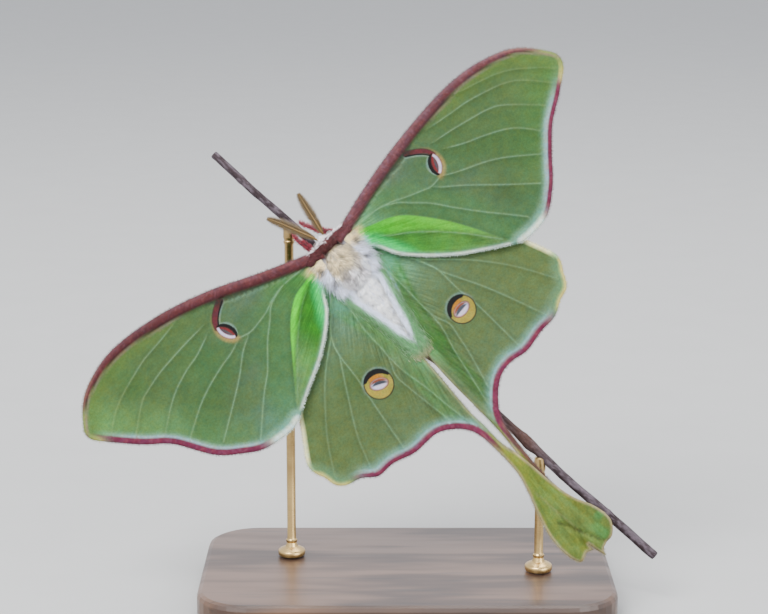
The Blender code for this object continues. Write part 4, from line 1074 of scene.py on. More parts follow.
def paint_hindwing(wing, f):
    """The hindwing's ground, stripes beside the body, veins, margins, tail and eyespot."""
    x, y = f["x"], f["y"]
    paint = lay(ink("haze"), "olive", blend(-10, -22, y))
    paint = lay(paint, "moss", blend(11, 24, x) * 0.8)
    paint = lay(paint, "low", blend(-27, -34, y) * 0.7)
    paint = lay(paint, "moss", 0.45 * patchy(0.1, 0.7, x, y, 3.3, 7) * blend(-20, -26, y))
    shadow = blend(1.8, 0.0, f["front"]) * blend(22, 18, x)
    paint = paint * (1 - 0.3 * shadow[:, None])

    inner = f["inner"]
    stripe = blend(4.9, 3.6, inner) * blend(1.0, 1.9, inner)
    wave = 0.5 + 0.5 * np.sin(inner * 5.2 + 1.0)
    paint = lay(paint, "stripe", stripe * (0.55 + 0.4 * wave) * blend(-5, -11, y), wing["stripe_light"])
    mint = blend(2.2, 1.0, inner) * blend(-30, -22, y)
    paint = lay(paint, "mint", mint * 0.85)
    streaks = patchy(0.1, 0.8, inner * 4, y * 0.16, 1.0, 21) * blend(5.2, 3.5, inner)
    paint = lay(paint, "mint", 0.18 * streaks * blend(-34, -26, y))
    side = wing["white_side"] * blend(-19, -13, y)
    paint = lay(paint, "fur_white", blend(0.7 + side, 0.1 + 0.7 * side, inner) * blend(-20.8, -18.6, y))
    base = blend(7.5, 5.0, np.hypot(x - 3.0, y + 4.0))
    paint = lay(paint, "haze", 0.8 * base, (1.0, 1.22, 1.35))

    paint = shaded_patches(paint, wing, x, y)
    line = bell(f["vein"], 0.13)
    # Painted shade: the ground darkens a little just beside each raised vein
    side = bell(f["vein"] - 0.4, 0.2)
    paint = paint * (1 - 0.12 * side[:, None])
    bright = 0.48 - 0.18 * blend(14, 20, x) + 0.6 * np.exp(-np.hypot(x - 10.4, y + 13.6) / 2.0)
    paint = lay(paint, "vein", line * bright * blend(0.5, 1.6, f["outer"]) * blend(-60, -42, y))
    paint = lay(paint, "tan", blend(0.6, 0.2, inner) * blend(-5, -9, y))

    tail = blend(-37.5, -42.5, y)
    ground = lay(ink("tail_pale"), "tail", blend(-44, -54, y))
    # Painted shade: darker green streaks for the shade in the tail's folds
    ground = lay(ground, "tail_fold_shade", 0.8 * patchy(0.0, 0.8, x * 1.6, y * 0.35, 2.1, 12))
    ground = lay(ground, "tail_mint", 0.4 * blend(-59, -64, y) * patchy(0.0, 0.6, x, y, 2.4, 33))
    spread = np.arctan2(x - 1.0, -(y + 44.0))
    streak = lattice_noise(spread * 26, y * 0.12, 1.0, 36)
    ground = lay(ground, "tail_pale", 0.65 * blend(0.0, 0.7, streak) * blend(-46, -52, y), 1.08)
    ground = lay(ground, "tail_mint", 0.45 * blend(0.0, 0.7, -streak) * blend(-50, -56, y))
    # More painted shade towards the crumpled end of the tail
    ground = lay(ground, "tail_fold_shade", 0.5 * blend(-56, -62, y))
    lobe = blend(0.5, -1.5, x) * blend(-60, -64, y)
    ground = lay(ground, "tail_teal", 0.45 * lobe * patchy(-0.3, 0.5, x, y, 1.6, 37))
    seam = bell(x - 1.6 - 0.12 * (y + 60), 0.22) * blend(-66, -63, y) * blend(-52, -55, y)
    ground = lay(ground, "tail_edge", 0.25 * seam)
    # Painted shade along the crease that the tail's relief also folds
    crease = bell(x - 2.9 - 0.5 * (y + 60.5), 0.16) * blend(-60, -61, y)
    ground = lay(ground, "tail_fold_shade", 0.7 * crease, 0.55)
    paint = cover(paint, ground, tail)

    front = blend(0.85, 0.35, f["front"]) * blend(12, 20, x)
    paint = lay(paint, "cream_pale", front)
    corner_x = wing["red_corner"]
    red = blend(corner_x, corner_x - 4.0, x) * blend(wing["red_end"] - 4, wing["red_end"], y)
    frost = blend(2.9, 0.9, f["outer"]) * blend(-43, -37, y) * (1 - 0.65 * blend(19.5, 23.5, x))
    paint = lay(paint, "frost", frost * (0.35 + 0.6 * red), (0.95, 1.0, 1.1))
    paint = lay(paint, "frost_bright", 0.8 * blend(1.6, 1.0, f["outer"]) * blend(-42, -37, y) * red)
    width = 0.8 + 0.3 * bell(y + 38.5, 3.5)
    band = blend(0.1, -0.1, f["outer"] - width)
    crimson = lay(ink("crimson"), "pink", 0.35 * patchy(0.0, 0.7, x, y, 0.3, 29))
    paint = cover(paint, crimson, band * red)
    corner = blend(corner_x - 1.5, corner_x + 1.0, x)
    paint = lay(paint, "mint", 0.5 * corner * blend(2.6, 0.6, f["outer"]), (0.95, 0.85, 0.95))
    paint = lay(paint, "cream", corner * blend(0.75, 0.25, f["outer"]))
    paint = lay(paint, "tail_edge", blend(0.6, 0.2, f["rim"]) * blend(-40, -46, y))
    if wing["sign"] > 0:
        hem = blend(0.75, 0.45, f["outer"]) * blend(-41, -44, y) * blend(-66, -60, y)
        paint = lay(paint, "tail_red", 0.9 * hem)
    return paint_round_spot(wing, f, paint)


def paint_round_spot(wing, f, paint):
    """The hindwing's round eyespot with its heavy dark brow."""
    cx, cy = wing["spot"]
    size = wing["spot_size"]
    u, v = f["x"] - cx, f["y"] - cy
    out = np.hypot(u, v / 1.03) - size
    paint = lay(paint, "halo", 0.6 * within(out - 0.32, 0.22) * blend(-0.8, 1.5, v), 0.85)
    paint = lay(paint, "umber", 0.95 * within(out, 0.08))
    field = lay(ink("ochre"), "ochre", patchy(0, 0.8, u, v, 0.9, 40), (0.8, 0.88, 0.8))
    paint = cover(paint, field, within(out + 0.19, 0.1))
    upward = 0.94 * v - 0.34 * u
    brow = np.hypot(u - 0.31, v + 0.85) - size - 0.02
    above = within(out, 0.06) * blend(0.3 * size, 0.38 * size, upward)
    warm = within(np.abs(brow + 0.36) - 0.36, 0.15) * within(out + 0.2, 0.1) * blend(0.2, 0.8, upward)
    paint = lay(paint, "amber", warm * blend(1.6, 0.6, np.abs(u + 0.2)))
    paint = lay(paint, "black", above * blend(-0.07, 0.07, brow))

    lean = wing["spot_lean"]
    along = u * math.cos(lean) + v * math.sin(lean)
    rise = -u * math.sin(lean) + v * math.cos(lean)
    lens = np.hypot((along + 0.05) / 1.66, rise / 1.02)
    paint = lay(paint, "spot_brown", 0.8 * within((lens - 1.04) * 1.2, 0.08), 2)
    paint = lay(paint, "spot_pink", within((lens - 0.96) * 1.2, 0.08))
    white = within((lens - 0.84) * 1.2, 0.1)
    paint = lay(paint, "spot_white", white)
    bend = rise - 0.2 + 0.14 * along * along
    paint = lay(paint, "rust", white * blend(0.18, 0.34, bend))
    paint = lay(paint, "amber", 0.8 * white * blend(0.5, 0.7, bend) * blend(0.4, -0.4, along))
    slit = np.hypot((along + 0.15) / 1.3, bend / 0.3)
    return lay(paint, "slate", within((slit - 1) * 0.4, 0.1), wing["slit"])


HINDWING = {"fore": False, "slot": "hindwing", "material": wing_material("hindwing_scales")}
FOREWING = {"fore": True, "slot": "forewing", "material": wing_material("forewing_scales")}
# Patches are places in millimetres, sizes and tints. Names that end in light are tints as well,
# apart from margin_light, which is how much paler the margin gets.
WINGS = (
    {
        **HINDWING, "name": "hindwing_right", "sign": 1, "seed": 3, "lift": -1,
        "stretches": HINDWING_RIGHT, "veins": HINDWING_VEINS_RIGHT,
        "spot": (9.45, -22.65), "spot_size": 2.5, "spot_lean": 0.10, "slit": 1.0,
        "red_end": -44, "red_corner": 21.6, "white_side": 1.4, "stripe_light": 0.85,
        "patches": ((6.0, -10.5, 3.0, (1.25, 1.35, 1.7)), (3.2, -24.0, 2.0, (0.75, 1.0, 0.7)),
                    (1.9, -18.0, 1.5, (1.05, 1.2, 1.1))),
    },
    {
        **HINDWING, "name": "hindwing_left", "sign": -1, "seed": 4, "lift": 1,
        "stretches": HINDWING_LEFT, "veins": HINDWING_VEINS_LEFT,
        "spot": (9.55, -22.6), "spot_size": 2.6, "spot_lean": 0.40, "slit": 0.7,
        "red_end": -42, "red_corner": 24.6, "white_side": 0.7, "stripe_light": (1.4, 1.12, 1.7),
        "patches": ((6.0, -10.0, 3.0, (1.05, 1.1, 1.4)), (3.6, -22.0, 2.0, (1.2, 1.04, 1.3)),
                    (12.0, -19.0, 4.0, (0.86, 0.96, 0.78))),
    },
    {
        **FOREWING, "name": "forewing_right", "sign": 1, "seed": 1, "reach": 50.9, "tornus": 31.0,
        "stretches": FOREWING_RIGHT, "veins": FOREWING_VEINS_RIGHT, "fold": FOREWING_FOLD_RIGHT,
        "spot": (22.5, -1.45), "stalk_half": 0.34, "red_start": (47.6, 49.2), "red_width": 0.78,
        "rope_end": 48.9, "rope_light": 1.3, "root_light": 1.3, "margin_light": (-0.04, 0.12, 0.05),
        "vein_strength": 0.58, "vein_light": 1.08, "panel_fade": 0.2,
        "panel_light": (1.1, 0.98, 1.15), "panel_mid_light": (1.0, 1.0, 1.1),
        "panel_low_light": (0.92, 0.72, 1.15), "strip_light": (0.92, 0.95, 1.0),
        "patches": ((18.0, -6.0, 3.5, (0.85, 0.88, 0.8)), (28.0, -14.0, 4.0, (0.8, 0.84, 0.66)),
                    (16.0, 1.0, 3.0, (1.2, 1.0, 1.3)), (9.0, -1.0, 2.5, (1.1, 1.1, 1.2))),
    },
    {
        **FOREWING, "name": "forewing_left", "sign": -1, "seed": 2, "reach": 52.5, "tornus": 30.0,
        "stretches": FOREWING_LEFT, "veins": FOREWING_VEINS_LEFT, "fold": FOREWING_FOLD_LEFT,
        "spot": (22.45, 1.35), "stalk_half": 0.42, "red_start": (50.3, 51.4), "red_width": 1.0,
        "rope_end": 50.0, "rope_light": (1.02, 0.8, 0.78), "root_light": (0.75, 0.98, 0.6),
        "margin_light": (0.36, 0.4, 0.8), "vein_strength": 0.66, "vein_light": 1.2, "panel_fade": 0.65,
        "panel_light": (0.7, 0.88, 0.65), "panel_mid_light": (1.35, 1.08, 1.8),
        "panel_low_light": (1.3, 0.86, 1.8), "strip_light": (1.2, 1.15, 1.5),
        "patches": ((18.0, -4.0, 3.5, (0.8, 0.92, 0.72)), (9.0, 0.2, 3.0, (0.75, 0.95, 0.66)),
                    (30.0, 0.0, 4.0, (0.88, 1.08, 1.1))),
    },
)
for wing in WINGS:
    make_wing(wing)

# Coat
# A tuft's corners are three at its foot, three at its middle and its tip
SPIKE_FACES = np.array([(0, 1, 4), (0, 4, 3), (1, 2, 5), (1, 5, 4), (2, 0, 3), (2, 3, 5),
                        (3, 4, 6), (4, 5, 6), (5, 3, 6), (0, 2, 1)])
SPIKE_MAP = np.array([(0, 0), (1, 0), (0.5, 0.3), (0.1, 0.6), (0.9, 0.6), (0.5, 0.8), (0.5, 1.0)])


def unwrap(points):
    """Places on the body's own unwrap: round the long axis, and along it."""
    around = np.arctan2(points[:, 0], points[:, 2] - BODY_AXIS) / (2 * np.pi) + 0.5
    along = (points[:, 1] - BODY_END) / BODY_SPAN
    return np.stack([0.02 + 0.96 * around, 0.02 + 0.96 * along], axis=1)


def unit(vectors):
    """The same directions at length 1."""
    return vectors / np.maximum(np.linalg.norm(vectors, axis=-1, keepdims=True), 1e-9)


def scatter(points, triangles, count, rng):
    """Random places on a surface, with its normals there."""
    a, b, c = (points[triangles[:, k]] for k in range(3))
    cross = np.cross(b - a, c - a)
    area = np.linalg.norm(cross, axis=1)
    chosen = rng.choice(len(triangles), count, p=area / area.sum())
    u, v = rng.random(count), rng.random(count)
    over = u + v > 1
    u[over], v[over] = 1 - u[over], 1 - v[over]
    places = a[chosen] + u[:, None] * (b - a)[chosen] + v[:, None] * (c - a)[chosen]
    return places, unit(cross[chosen])


def gather(roots, tips, rng, clumps, pull):
    """Draw the tips of neighbouring tufts together in locks."""
    if clumps == 0:
        return tips
    heads = rng.choice(len(roots), clumps, replace=False)
    meeting = tips[heads][closest(roots, roots[heads])]
    return tips + pull * (meeting - tips)


def spikes(foot, middle, tip, side, rise):
    """Closed three-sided spikes from foot to tip by way of a middle, and their faces."""
    corners = [foot - side, foot + side, foot + rise,
               middle - 0.8 * side, middle + 0.8 * side, middle + 0.8 * rise, tip]
    points = np.stack(corners, axis=1).reshape(-1, 3)
    return points, (np.arange(len(foot))[:, None, None] * len(corners) + SPIKE_FACES).reshape(-1, 3)


def grow(name, roots, tips, widths, colours, maps, material, lift, root_shade=0.95,
         gain=1.0, normals=UP):
    """A coat of thin tapered tufts, each a closed spike that bends over from root to tip."""
    lie = tips - roots
    length = np.linalg.norm(lie, axis=1)[:, None]
    side = unit(np.cross(lie, normals)) * widths[:, None] / 2
    rise = normals * widths[:, None] * 0.35
    middle = roots + 0.5 * lie + normals * length * lift
    points, faces = spikes(roots - normals * ROOT_DEPTH, middle, tips, side, rise)
    mesh = piece(name, points, faces, material).data
    along = np.array([root_shade, root_shade, root_shade + 0.05, 0.95, 0.95, 1.0, 1.05])
    shades = np.minimum(pigment(colours)[:, None, :] * along[None, :, None] * gain, PALEST)
    add_colours(mesh, shades.reshape(-1, 3))
    add_places(mesh, points)
    spots = (maps[:, None, :] + (SPIKE_MAP - 0.5)[None] * PATCH).reshape(-1, 2)
    add_map(mesh, spots[faces.ravel()])


def add_ball(bm, centre, half, segments):
    """An ellipsoid in a mesh being built."""
    ball = bmesh.ops.create_uvsphere(bm, u_segments=segments[0], v_segments=segments[1], radius=1.0)
    bmesh.ops.scale(bm, vec=half, verts=ball["verts"])
    bmesh.ops.translate(bm, vec=centre, verts=ball["verts"])


def body_skin():
    """One smooth skin for head, collar, thorax and abdomen, just under the coat."""
    bm = bmesh.new()
    for centre, half in (THORAX, PROTHORAX, HEAD):
        add_ball(bm, centre, [h - SKIN_DEPTH for h in half], BALL_SEGMENTS)
    for x, y, z, wide, high in COLLAR:
        for side in (-1, 1):
            add_ball(bm, (side * x, y, z), (1.0, wide, high), KNOB_SEGMENTS)
    sections = np.array(ABDOMEN_SECTIONS)
    first, last = sections[0, 0], sections[-1, 0]
    rings = []
    for y in np.arange(first, last - 0.01, -ABDOMEN_RING_STEP):
        wide, deep, height = (np.interp(-y, -sections[:, 0], sections[:, k]) for k in (1, 2, 3))
        swell = abs(math.sin(math.pi * (y - first) / SEGMENT_LENGTH))
        ring = SEGMENT_RELIEF * (swell - 1) - SKIN_DEPTH * 0.8
        angles = np.linspace(0, 2 * np.pi, ABDOMEN_SIDES, endpoint=False)
        rings.append([bm.verts.new((max(0.2, wide + ring) * math.cos(a), y,
                                    height + max(0.2, deep + ring) * math.sin(a))) for a in angles])
    for ring, following in zip(rings, rings[1:]):
        for i in range(len(ring)):
            j = (i + 1) % len(ring)
            bm.faces.new((ring[i], following[i], following[j], ring[j]))
    bm.faces.new(rings[0])
    bm.faces.new(rings[-1])
    bmesh.ops.recalc_face_normals(bm, faces=bm.faces)
    mesh = bpy.data.meshes.new("skin_forms")
    bm.to_mesh(mesh)
    bm.free()
    form = linked("skin_forms", mesh)
    remesh = form.modifiers.new("one_skin", "REMESH")
    remesh.mode = "VOXEL"
    remesh.voxel_size = SKIN_VOXEL
    relax = form.modifiers.new("relaxed", "SMOOTH")
    relax.factor = 0.6
    relax.iterations = 6
    graph = bpy.context.evaluated_depsgraph_get()
    whole = bpy.data.meshes.new_from_object(form.evaluated_get(graph))
    bpy.data.objects.remove(form)
    bm = bmesh.new()
    bm.from_mesh(whole)
    bmesh.ops.triangulate(bm, faces=bm.faces)
    bm.to_mesh(whole)
    bm.free()
    return read(whole.vertices, "co", float, 3), read(whole.loops, "vertex_index", int).reshape(-1, 3)


def collar_edge(x):
    """How far back the shoulder rope reaches at a place across the body."""
    return -0.14 - 0.5 * bell(np.abs(x) - 4.1, 0.6)


def coat_colour(p):
    """The coat's colour by where it grows on head, collar, thorax or abdomen."""
    x, y = p[:, 0], p[:, 1]
    cloud = lattice_noise(x, y, 1.1, 60)
    thorax = lay(ink("fur_cream"), "fur_lavender", blend(-3.4, -5.4, y - 0.25 * np.abs(x) + 0.6 * cloud))
    beside = np.abs(x + 0.3) + 0.5 * cloud - 0.4 * blend(-2.5, -0.8, y)
    thorax = lay(thorax, "fur_white", blend(1.9, 2.7, beside))
    thorax = lay(thorax, "fur_tan", 0.45 * patchy(0.2, 0.9, x, y, 1.3, 64) * blend(-3.2, -1.4, y))
    # Painted shade: grey rings where the thorax fur parts round its whorl
    whorl_shade = bell(np.hypot(x - 0.1, y + 4.6) - 1.2 - 0.3 * cloud, 0.22)
    thorax = lay(thorax, "fur_grey", 0.8 * whorl_shade * blend(-3.2, -4.0, y), 0.9)
    strand = lattice_noise(x * 2.6, y * 0.7, 1.0, 66)
    thorax = lay(thorax, "fur_grey", 0.45 * blend(0.15, 0.7, strand) * blend(-7.5, -6.0, y))
    cleft = bell(x + 0.1, 0.16) * blend(-0.6, -1.2, y) * blend(-2.6, -2.0, y)
    thorax = lay(thorax, "fur_olive", 0.75 * cleft)
    for side in (-1, 1):
        mark = bell(x - side * 3.6 + 0.1 * cloud, 0.2) * bell(y + 5.0, 0.6)
        thorax = lay(thorax, "fur_grey", 0.85 * mark, 0.5)
        mark = bell(x - side * 2.9, 0.22) * bell(y + 6.2, 0.35)
        thorax = lay(thorax, "fur_grey", 0.6 * mark, 0.7)
        mark = bell(x - side * 4.05, 0.24) * bell(y + 1.7, 1.0)
        thorax = lay(thorax, "fur_olive", 0.9 * mark, 0.6)
    colour = lay(thorax, "fur_white", blend(-6.6, -8.0, y))
    colour = lay(colour, "fur_grey", 0.25 * patchy(0.3, 0.9, x, y, 0.6, 61) * blend(-7, -9, y))
    colour = lay(colour, "fur_tail", blend(-20.4, -22.0, y))
    flank = ink("maroon") * np.where(x[:, None] > 0, (1.65, 1.1, 1.15), (1.5, 0.85, 0.85))
    collar = cover(ink("collar"), flank, blend(0.4, 2.8, np.abs(x)))
    collar = lay(collar, "rose", 0.5 * patchy(0.1, 0.8, x, y, 0.4, 62), (0.9, 0.55, 0.55))
    collar = lay(collar, "rose", 0.6 * blend(1.1, 1.6, y - 0.1 * np.abs(x)) * blend(-1.0, 1.5, x))
    collar = lay(collar, "collar", blend(0.35, -0.1, y - 0.4 * (collar_edge(x) + 0.14)), 0.6)
    edge = collar_edge(x)
    colour = cover(colour, collar, blend(-0.08, 0.08, y - edge))
    colour = lay(colour, "fur_head", blend(1.6, 1.75, y) * blend(3.5, 3.1, np.abs(x)))
    # Painted shadow: the down-turned face, in shade, is painted dark brown
    return lay(colour, "face", blend(2.45, 2.6, y))


def fur_lie(p, n):
    """Which way the coat lies: back along the body, out over the sides, and out along the collar."""
    x, y = p[:, 0], p[:, 1]
    lie = np.stack([0.16 * x, -np.ones(len(x)), np.zeros(len(x))], axis=1)
    swirl = lattice_noise(x, y, 2.2, 63) * blend(-9, -6, y)
    lie[:, 0] += 0.7 * swirl
    collar = blend(-0.1, 0.1, y - collar_edge(x))[:, None]
    across = -0.1 + 0.25 * blend(4.2, 4.8, np.abs(x)) - 0.6 * bell(x, 0.5)
    outward = np.stack([np.tanh(2.5 * x), across, 0 * y], axis=1)
    lie = lie * (1 - collar) + outward * collar
    head = blend(1.5, 1.7, y)[:, None] * blend(3.4, 3.0, np.abs(x))[:, None]
    forward = np.stack([0.1 * x, 1.0 + 0 * y, 0.1 + 0 * y], axis=1)
    lie = lie * (1 - head) + forward * head
    lie = unit(lie)
    flat = lie - (lie * n).sum(1)[:, None] * n
    return unit(flat + 1e-4)


def coat_piece(name, region, count, length, width, lift, seed, slot, clumps=0, pull=0.0, tint=None):
    """A stretch of the body's coat, where region says yes."""
    rng = np.random.default_rng(seed)
    roots, normals = scatter(skin_points, skin_triangles, count * 6, rng)
    kept = np.flatnonzero(region(*roots.T))[:count]
    roots, normals = roots[kept], normals[kept]
    lie = fur_lie(roots, normals)
    reach = length * rng.uniform(0.75, 1.2, len(roots))
    stray = rng.normal(0, 0.16, (len(roots), 3))
    tips = roots + unit(lie + stray + normals * lift) * reach[:, None]
    tips = gather(roots, tips, rng, clumps, pull)
    widths = width * rng.uniform(0.75, 1.2, len(roots))
    colours = coat_colour(roots) if tint is None else np.tile(ink(tint), (len(roots), 1))
    shade = rng.uniform(0.8, 1.12, len(roots)) * np.where(rng.random(len(roots)) < 0.12, 0.72, 1.0)
    grow(name, roots, tips, widths, colours * shade[:, None], unwrap(roots), FUR[slot],
         lift=0.1, root_shade=0.9, gain=COAT_GAIN[slot], normals=normals)


def wing_hair(name, seed, sign):
    """Soft hair from the body's side out over the bases of both wings."""
    rng = np.random.default_rng(seed)
    t = rng.random(WING_HAIRS)
    root_y = -0.35 - 7.0 * t
    root_x = np.interp(t, *WING_HAIR_ROOTS) + rng.exponential(0.55, WING_HAIRS)
    kept = root_x < 5.0
    t, root_x, root_y = t[kept], root_x[kept], root_y[kept]
    count = len(t)
    fore = root_y > -4.3
    above = forewing_height(root_x, root_y)
    below = hindwing_height(root_x, root_y, 0) + 0.45
    height = below + (above - below) * blend(-6.5, -3.8, root_y)
    roots = stood(sign, root_x, root_y, height + rng.uniform(0.05, 0.3, count))
    angle = np.radians(2 - 92 * t + rng.normal(0, 11, count))
    length = 0.5 + rng.exponential(0.55, count)
    length = np.minimum(length, 2.4) * (1 - 0.35 * bell(t - 0.02, 0.1))
    tip_x = root_x + np.cos(angle) * length
    tip_y = root_y + np.sin(angle) * length
    over_hind = np.maximum(hindwing_height(tip_x, tip_y, 0), 0.1)
    top = np.where(fore | (tip_y > -0.62 * tip_x - 1.0), forewing_height(tip_x, tip_y), over_hind)
    tips = stood(sign, tip_x, tip_y, top + rng.uniform(0.08, 0.2, count))
    jitter = rng.normal(0, 0.05, count)
    colours = lay(ink("fur_tan") * 1.2, "fur_white", blend(0.16, 0.3, t + jitter), 0.86)
    colours = lay(colours, "fur_grey", 0.6 * (rng.random(count) < 0.25), 1.3)
    far = blend(4.5, 5.2, root_x + 8 * jitter)
    green = lay(ink("root") * 1.3, "mint", blend(0.3, 0.5, t), 1.1)
    colours = cover(colours, green, 0.8 * far * (rng.random(count) < 0.7))
    mid_x = 0.6 * root_x + 0.4 * tip_x
    mid_y = 0.6 * root_y + 0.4 * tip_y
    mark = bell(mid_x - 4.0, 0.4) * bell(mid_y + 2.0, 0.6)
    mark += bell(mid_x - 3.3, 0.55) * bell(mid_y + 5.2, 0.5)
    colours = lay(colours, "fur_olive", np.minimum(1.1 * mark, 0.95), (0.45, 0.45, 0.7))
    widths = rng.uniform(*WING_HAIR_WIDTHS, count)
    grow(name, roots, tips, widths, colours, unwrap(roots), FUR["white_fur"],
         lift=0.03, gain=1.5)


def margin_hair(name, wing):
    """Hair along the hindwing's inner margin, combed back beside the abdomen."""
    rng = np.random.default_rng(wing["seed"] + 80)
    count = MARGIN_HAIRS
    line = smooth_line(wing["stretches"][-1], 0.2)
    line = line[(line[:, 1] < -6.5) & (line[:, 1] > -24)]
    at = line[rng.integers(0, len(line), count)]
    inset = np.abs(rng.normal(0, 0.8, count)) - 0.1
    root_x, root_y = at[:, 0] + inset, at[:, 1]
    lean = rng.normal(-0.12, 0.12, count) - 0.22 * blend(0.7, 0.0, inset)
    length = rng.uniform(*MARGIN_HAIR_LENGTHS, count) * blend(-27, -20, root_y)
    length = np.maximum(length, 0.5)
    tip_x = root_x + lean * length
    tip_y = root_y - length
    base = hindwing_height(root_x, root_y, wing["lift"])
    end = hindwing_height(tip_x, tip_y, wing["lift"])
    roots = stood(wing["sign"], root_x, root_y, base + 0.05)
    tips = stood(wing["sign"], tip_x, tip_y, end + rng.uniform(0.1, 0.3, count))
    turn = inset + 0.22 * np.maximum(-17.0 - root_y, 0.0)
    colours = lay(ink("fur_white"), "mint", blend(0.25, 0.9, turn))
    colours = lay(colours, "stripe", 0.7 * blend(0.9, 1.6, inset), 1.2)
    colours = lay(colours, "tan", blend(-21, -23.5, root_y), 1.3)
    widths = rng.uniform(*MARGIN_HAIR_WIDTHS, count)
    maps = np.stack([root_x, root_y + 70], axis=1) / 75.0
    grow(name, roots, tips, widths, colours, maps, FUR["white_fur"], lift=0.03, gain=1.25)


def leg_coat(name, nodes, count, seed):
    """Short crimson fur on the legs, rooted in their own surface."""
    rng = np.random.default_rng(seed)
    back = np.array(MOTH.inverted())
    all_roots, all_normals = [], []
    for node in nodes:
        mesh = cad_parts[node].data
        mesh.calc_loop_triangles()
        points = np.array([v.co for v in mesh.vertices]) @ back[:3, :3].T + back[:3, 3]
        triangles = np.array([t.vertices for t in mesh.loop_triangles])
        roots, normals = scatter(points, triangles, count, rng)
        all_roots.append(roots)
        all_normals.append(normals)
    roots, normals = np.vstack(all_roots), np.vstack(all_normals)
    down = np.array((0.0, 0.45, -1.0))
    lie = unit(down - (normals @ down)[:, None] * normals)
    reach = rng.uniform(*LEG_TUFT_LENGTHS, len(roots))
    tips = roots + unit(lie + normals * 0.35 + rng.normal(0, 0.12, roots.shape)) * reach[:, None]
    widths = rng.uniform(*LEG_TUFT_WIDTHS, len(roots))
    colours = ink("leg_red") * rng.uniform(0.7, 1.35, len(roots))[:, None]
    grow(name, roots, tips, widths, colours, unwrap(roots), FUR["crimson_fur"],
         lift=0.1, root_shade=0.8, gain=COAT_GAIN["crimson_fur"], normals=normals)


def fringe(wing):
    """Hair-fine scales that soften a wing's rim."""
    rng = np.random.default_rng(wing["seed"] + 50)
    closed = wing["closed"]
    steps = np.hypot(*np.diff(closed, axis=0).T)
    place = np.concatenate([[0], np.cumsum(steps)])
    at = np.arange(0, place[-1], FRINGE_STEP)
    x, y = np.interp(at, place, closed[:, 0]), np.interp(at, place, closed[:, 1])
    edge = np.stack([x, y], axis=1)
    ahead = np.gradient(edge, axis=0)
    outward = unit(np.stack([ahead[:, 1], -ahead[:, 0]], axis=1))
    probe = inside(edge + outward * 0.05, closed[:-1])
    outward[probe] *= -1
    kept = ~inside(edge + outward * 0.08, closed[:-1]) & (x > 3.0 * (y > -8.0))
    edge, outward = edge[kept], outward[kept]
    flat, height, paint = wing["rim_data"]
    owner = closest(edge, flat)
    length = rng.uniform(*FRINGE_LENGTHS, len(edge))
    base = edge - outward * 0.14
    end = edge + outward * length[:, None] + rng.normal(0, 0.05, edge.shape)
    z = height[owner]
    sign = wing["sign"]
    roots = stood(sign, base[:, 0], base[:, 1], z)
    tips = stood(sign, end[:, 0], end[:, 1], z + rng.uniform(-0.05, 0.08, len(z)))
    colours = paint[owner] * rng.uniform(0.85, 1.15, len(z))[:, None]
    grow(wing["name"] + "_fringe", roots, tips, rng.uniform(*FRINGE_WIDTHS, len(z)), colours,
         wing["to_map"](base), FUR["fringe"], lift=0.02, root_shade=1.0)


FUR = {
    "white_fur": fur_material("white_coat", 0.85, 0.2),
    "maroon_fur": fur_material("maroon_coat", 0.75, 0.03),
    "crimson_fur": fur_material("crimson_coat", 0.6, 0.1),
    "fringe": fur_material("fringe_scales", 0.8, 0.1),
}
skin_points, skin_triangles = body_skin()
skin = piece("body_skin", skin_points, skin_triangles, FUR["white_fur"],
             ("head", "prothorax", "thorax", "abdomen"))
add_colours(skin.data, np.minimum(pigment(coat_colour(skin_points)) * SKIN_GAIN, PALEST))
add_places(skin.data, skin_points)
add_map(skin.data, unwrap(skin_points)[skin_triangles.ravel()])

coat_piece("thorax_fur", lambda x, y, z: (y < collar_edge(x)) & (y > -8.6), count=17000,
           length=1.8, width=0.08, lift=0.18, clumps=520, pull=0.3, seed=70, slot="white_fur")
coat_piece("abdomen_fur", lambda x, y, z: y <= -8.0, count=13000,
           length=1.7, width=0.08, lift=0.07, clumps=900, pull=0.15, seed=71, slot="white_fur")
coat_piece("collar_fur", lambda x, y, z: (y > collar_edge(x)) & (y < 1.7), count=10000,
           length=0.5, width=0.1, lift=0.1, seed=72, slot="maroon_fur")
coat_piece("face_fur", lambda x, y, z: y > 2.4, count=2400,
           length=0.4, width=0.08, lift=0.3, seed=73, slot="maroon_fur")
coat_piece("head_fur", lambda x, y, z: (np.abs(y - 1.95) < 0.5) & (z > -0.9) & (np.abs(x) < 3.6),
           count=3800, length=0.85, width=0.08, lift=0.16, seed=77, slot="white_fur", tint="fur_head")
wing_hair("wing_hair_right", 74, 1)
wing_hair("wing_hair_left", 75, -1)
for wing in WINGS:
    fringe(wing)
    if not wing["fore"]:
        margin_hair(wing["name"] + "_hair", wing)
LEGS = ("foreleg_right", "foreleg_left", "midleg_right", "midleg_left", "hindleg_right",
        "hindleg_left")
leg_coat("leg_fur", LEGS, LEG_TUFTS, 76)

# Eyes, legs, antennae

def eye_material():
    """Dark glossy eye with a fine honeycomb of facets."""
    n = Nodes("compound_eye", 0.18, 0.6)
    place = n.own_place()
    facets = n.cells(place, 9000.0)
    tone = n.ramp(facets, 0.0, 0.6, 0.8, 1.3)
    n.colour(n.dimmed((0.030, 0.014, 0.010, 1.0), tone))
    n.rough(facets, 0.0, 0.6, 0.14, 0.3)
    n.shader.inputs["Coat Weight"].default_value = 0.4
    n.bump(facets, 0.3, 0.00002)
    return n.material


def leg_material():
    """Crimson skin of the legs under their fur."""
    n = Nodes("leg_skin", 0.6, 0.3)
    place = n.own_place()
    mottle = n.ramp(n.noise(place, 1400.0, 3.0), 0.3, 0.7, 0.7, 1.2)
    n.colour(n.dimmed((0.075, 0.010, 0.016, 1.0), mottle))
    n.rough(mottle, 0.7, 1.2, 0.5, 0.7)
    n.bump(mottle, 0.4, 0.00004)
    return n.material


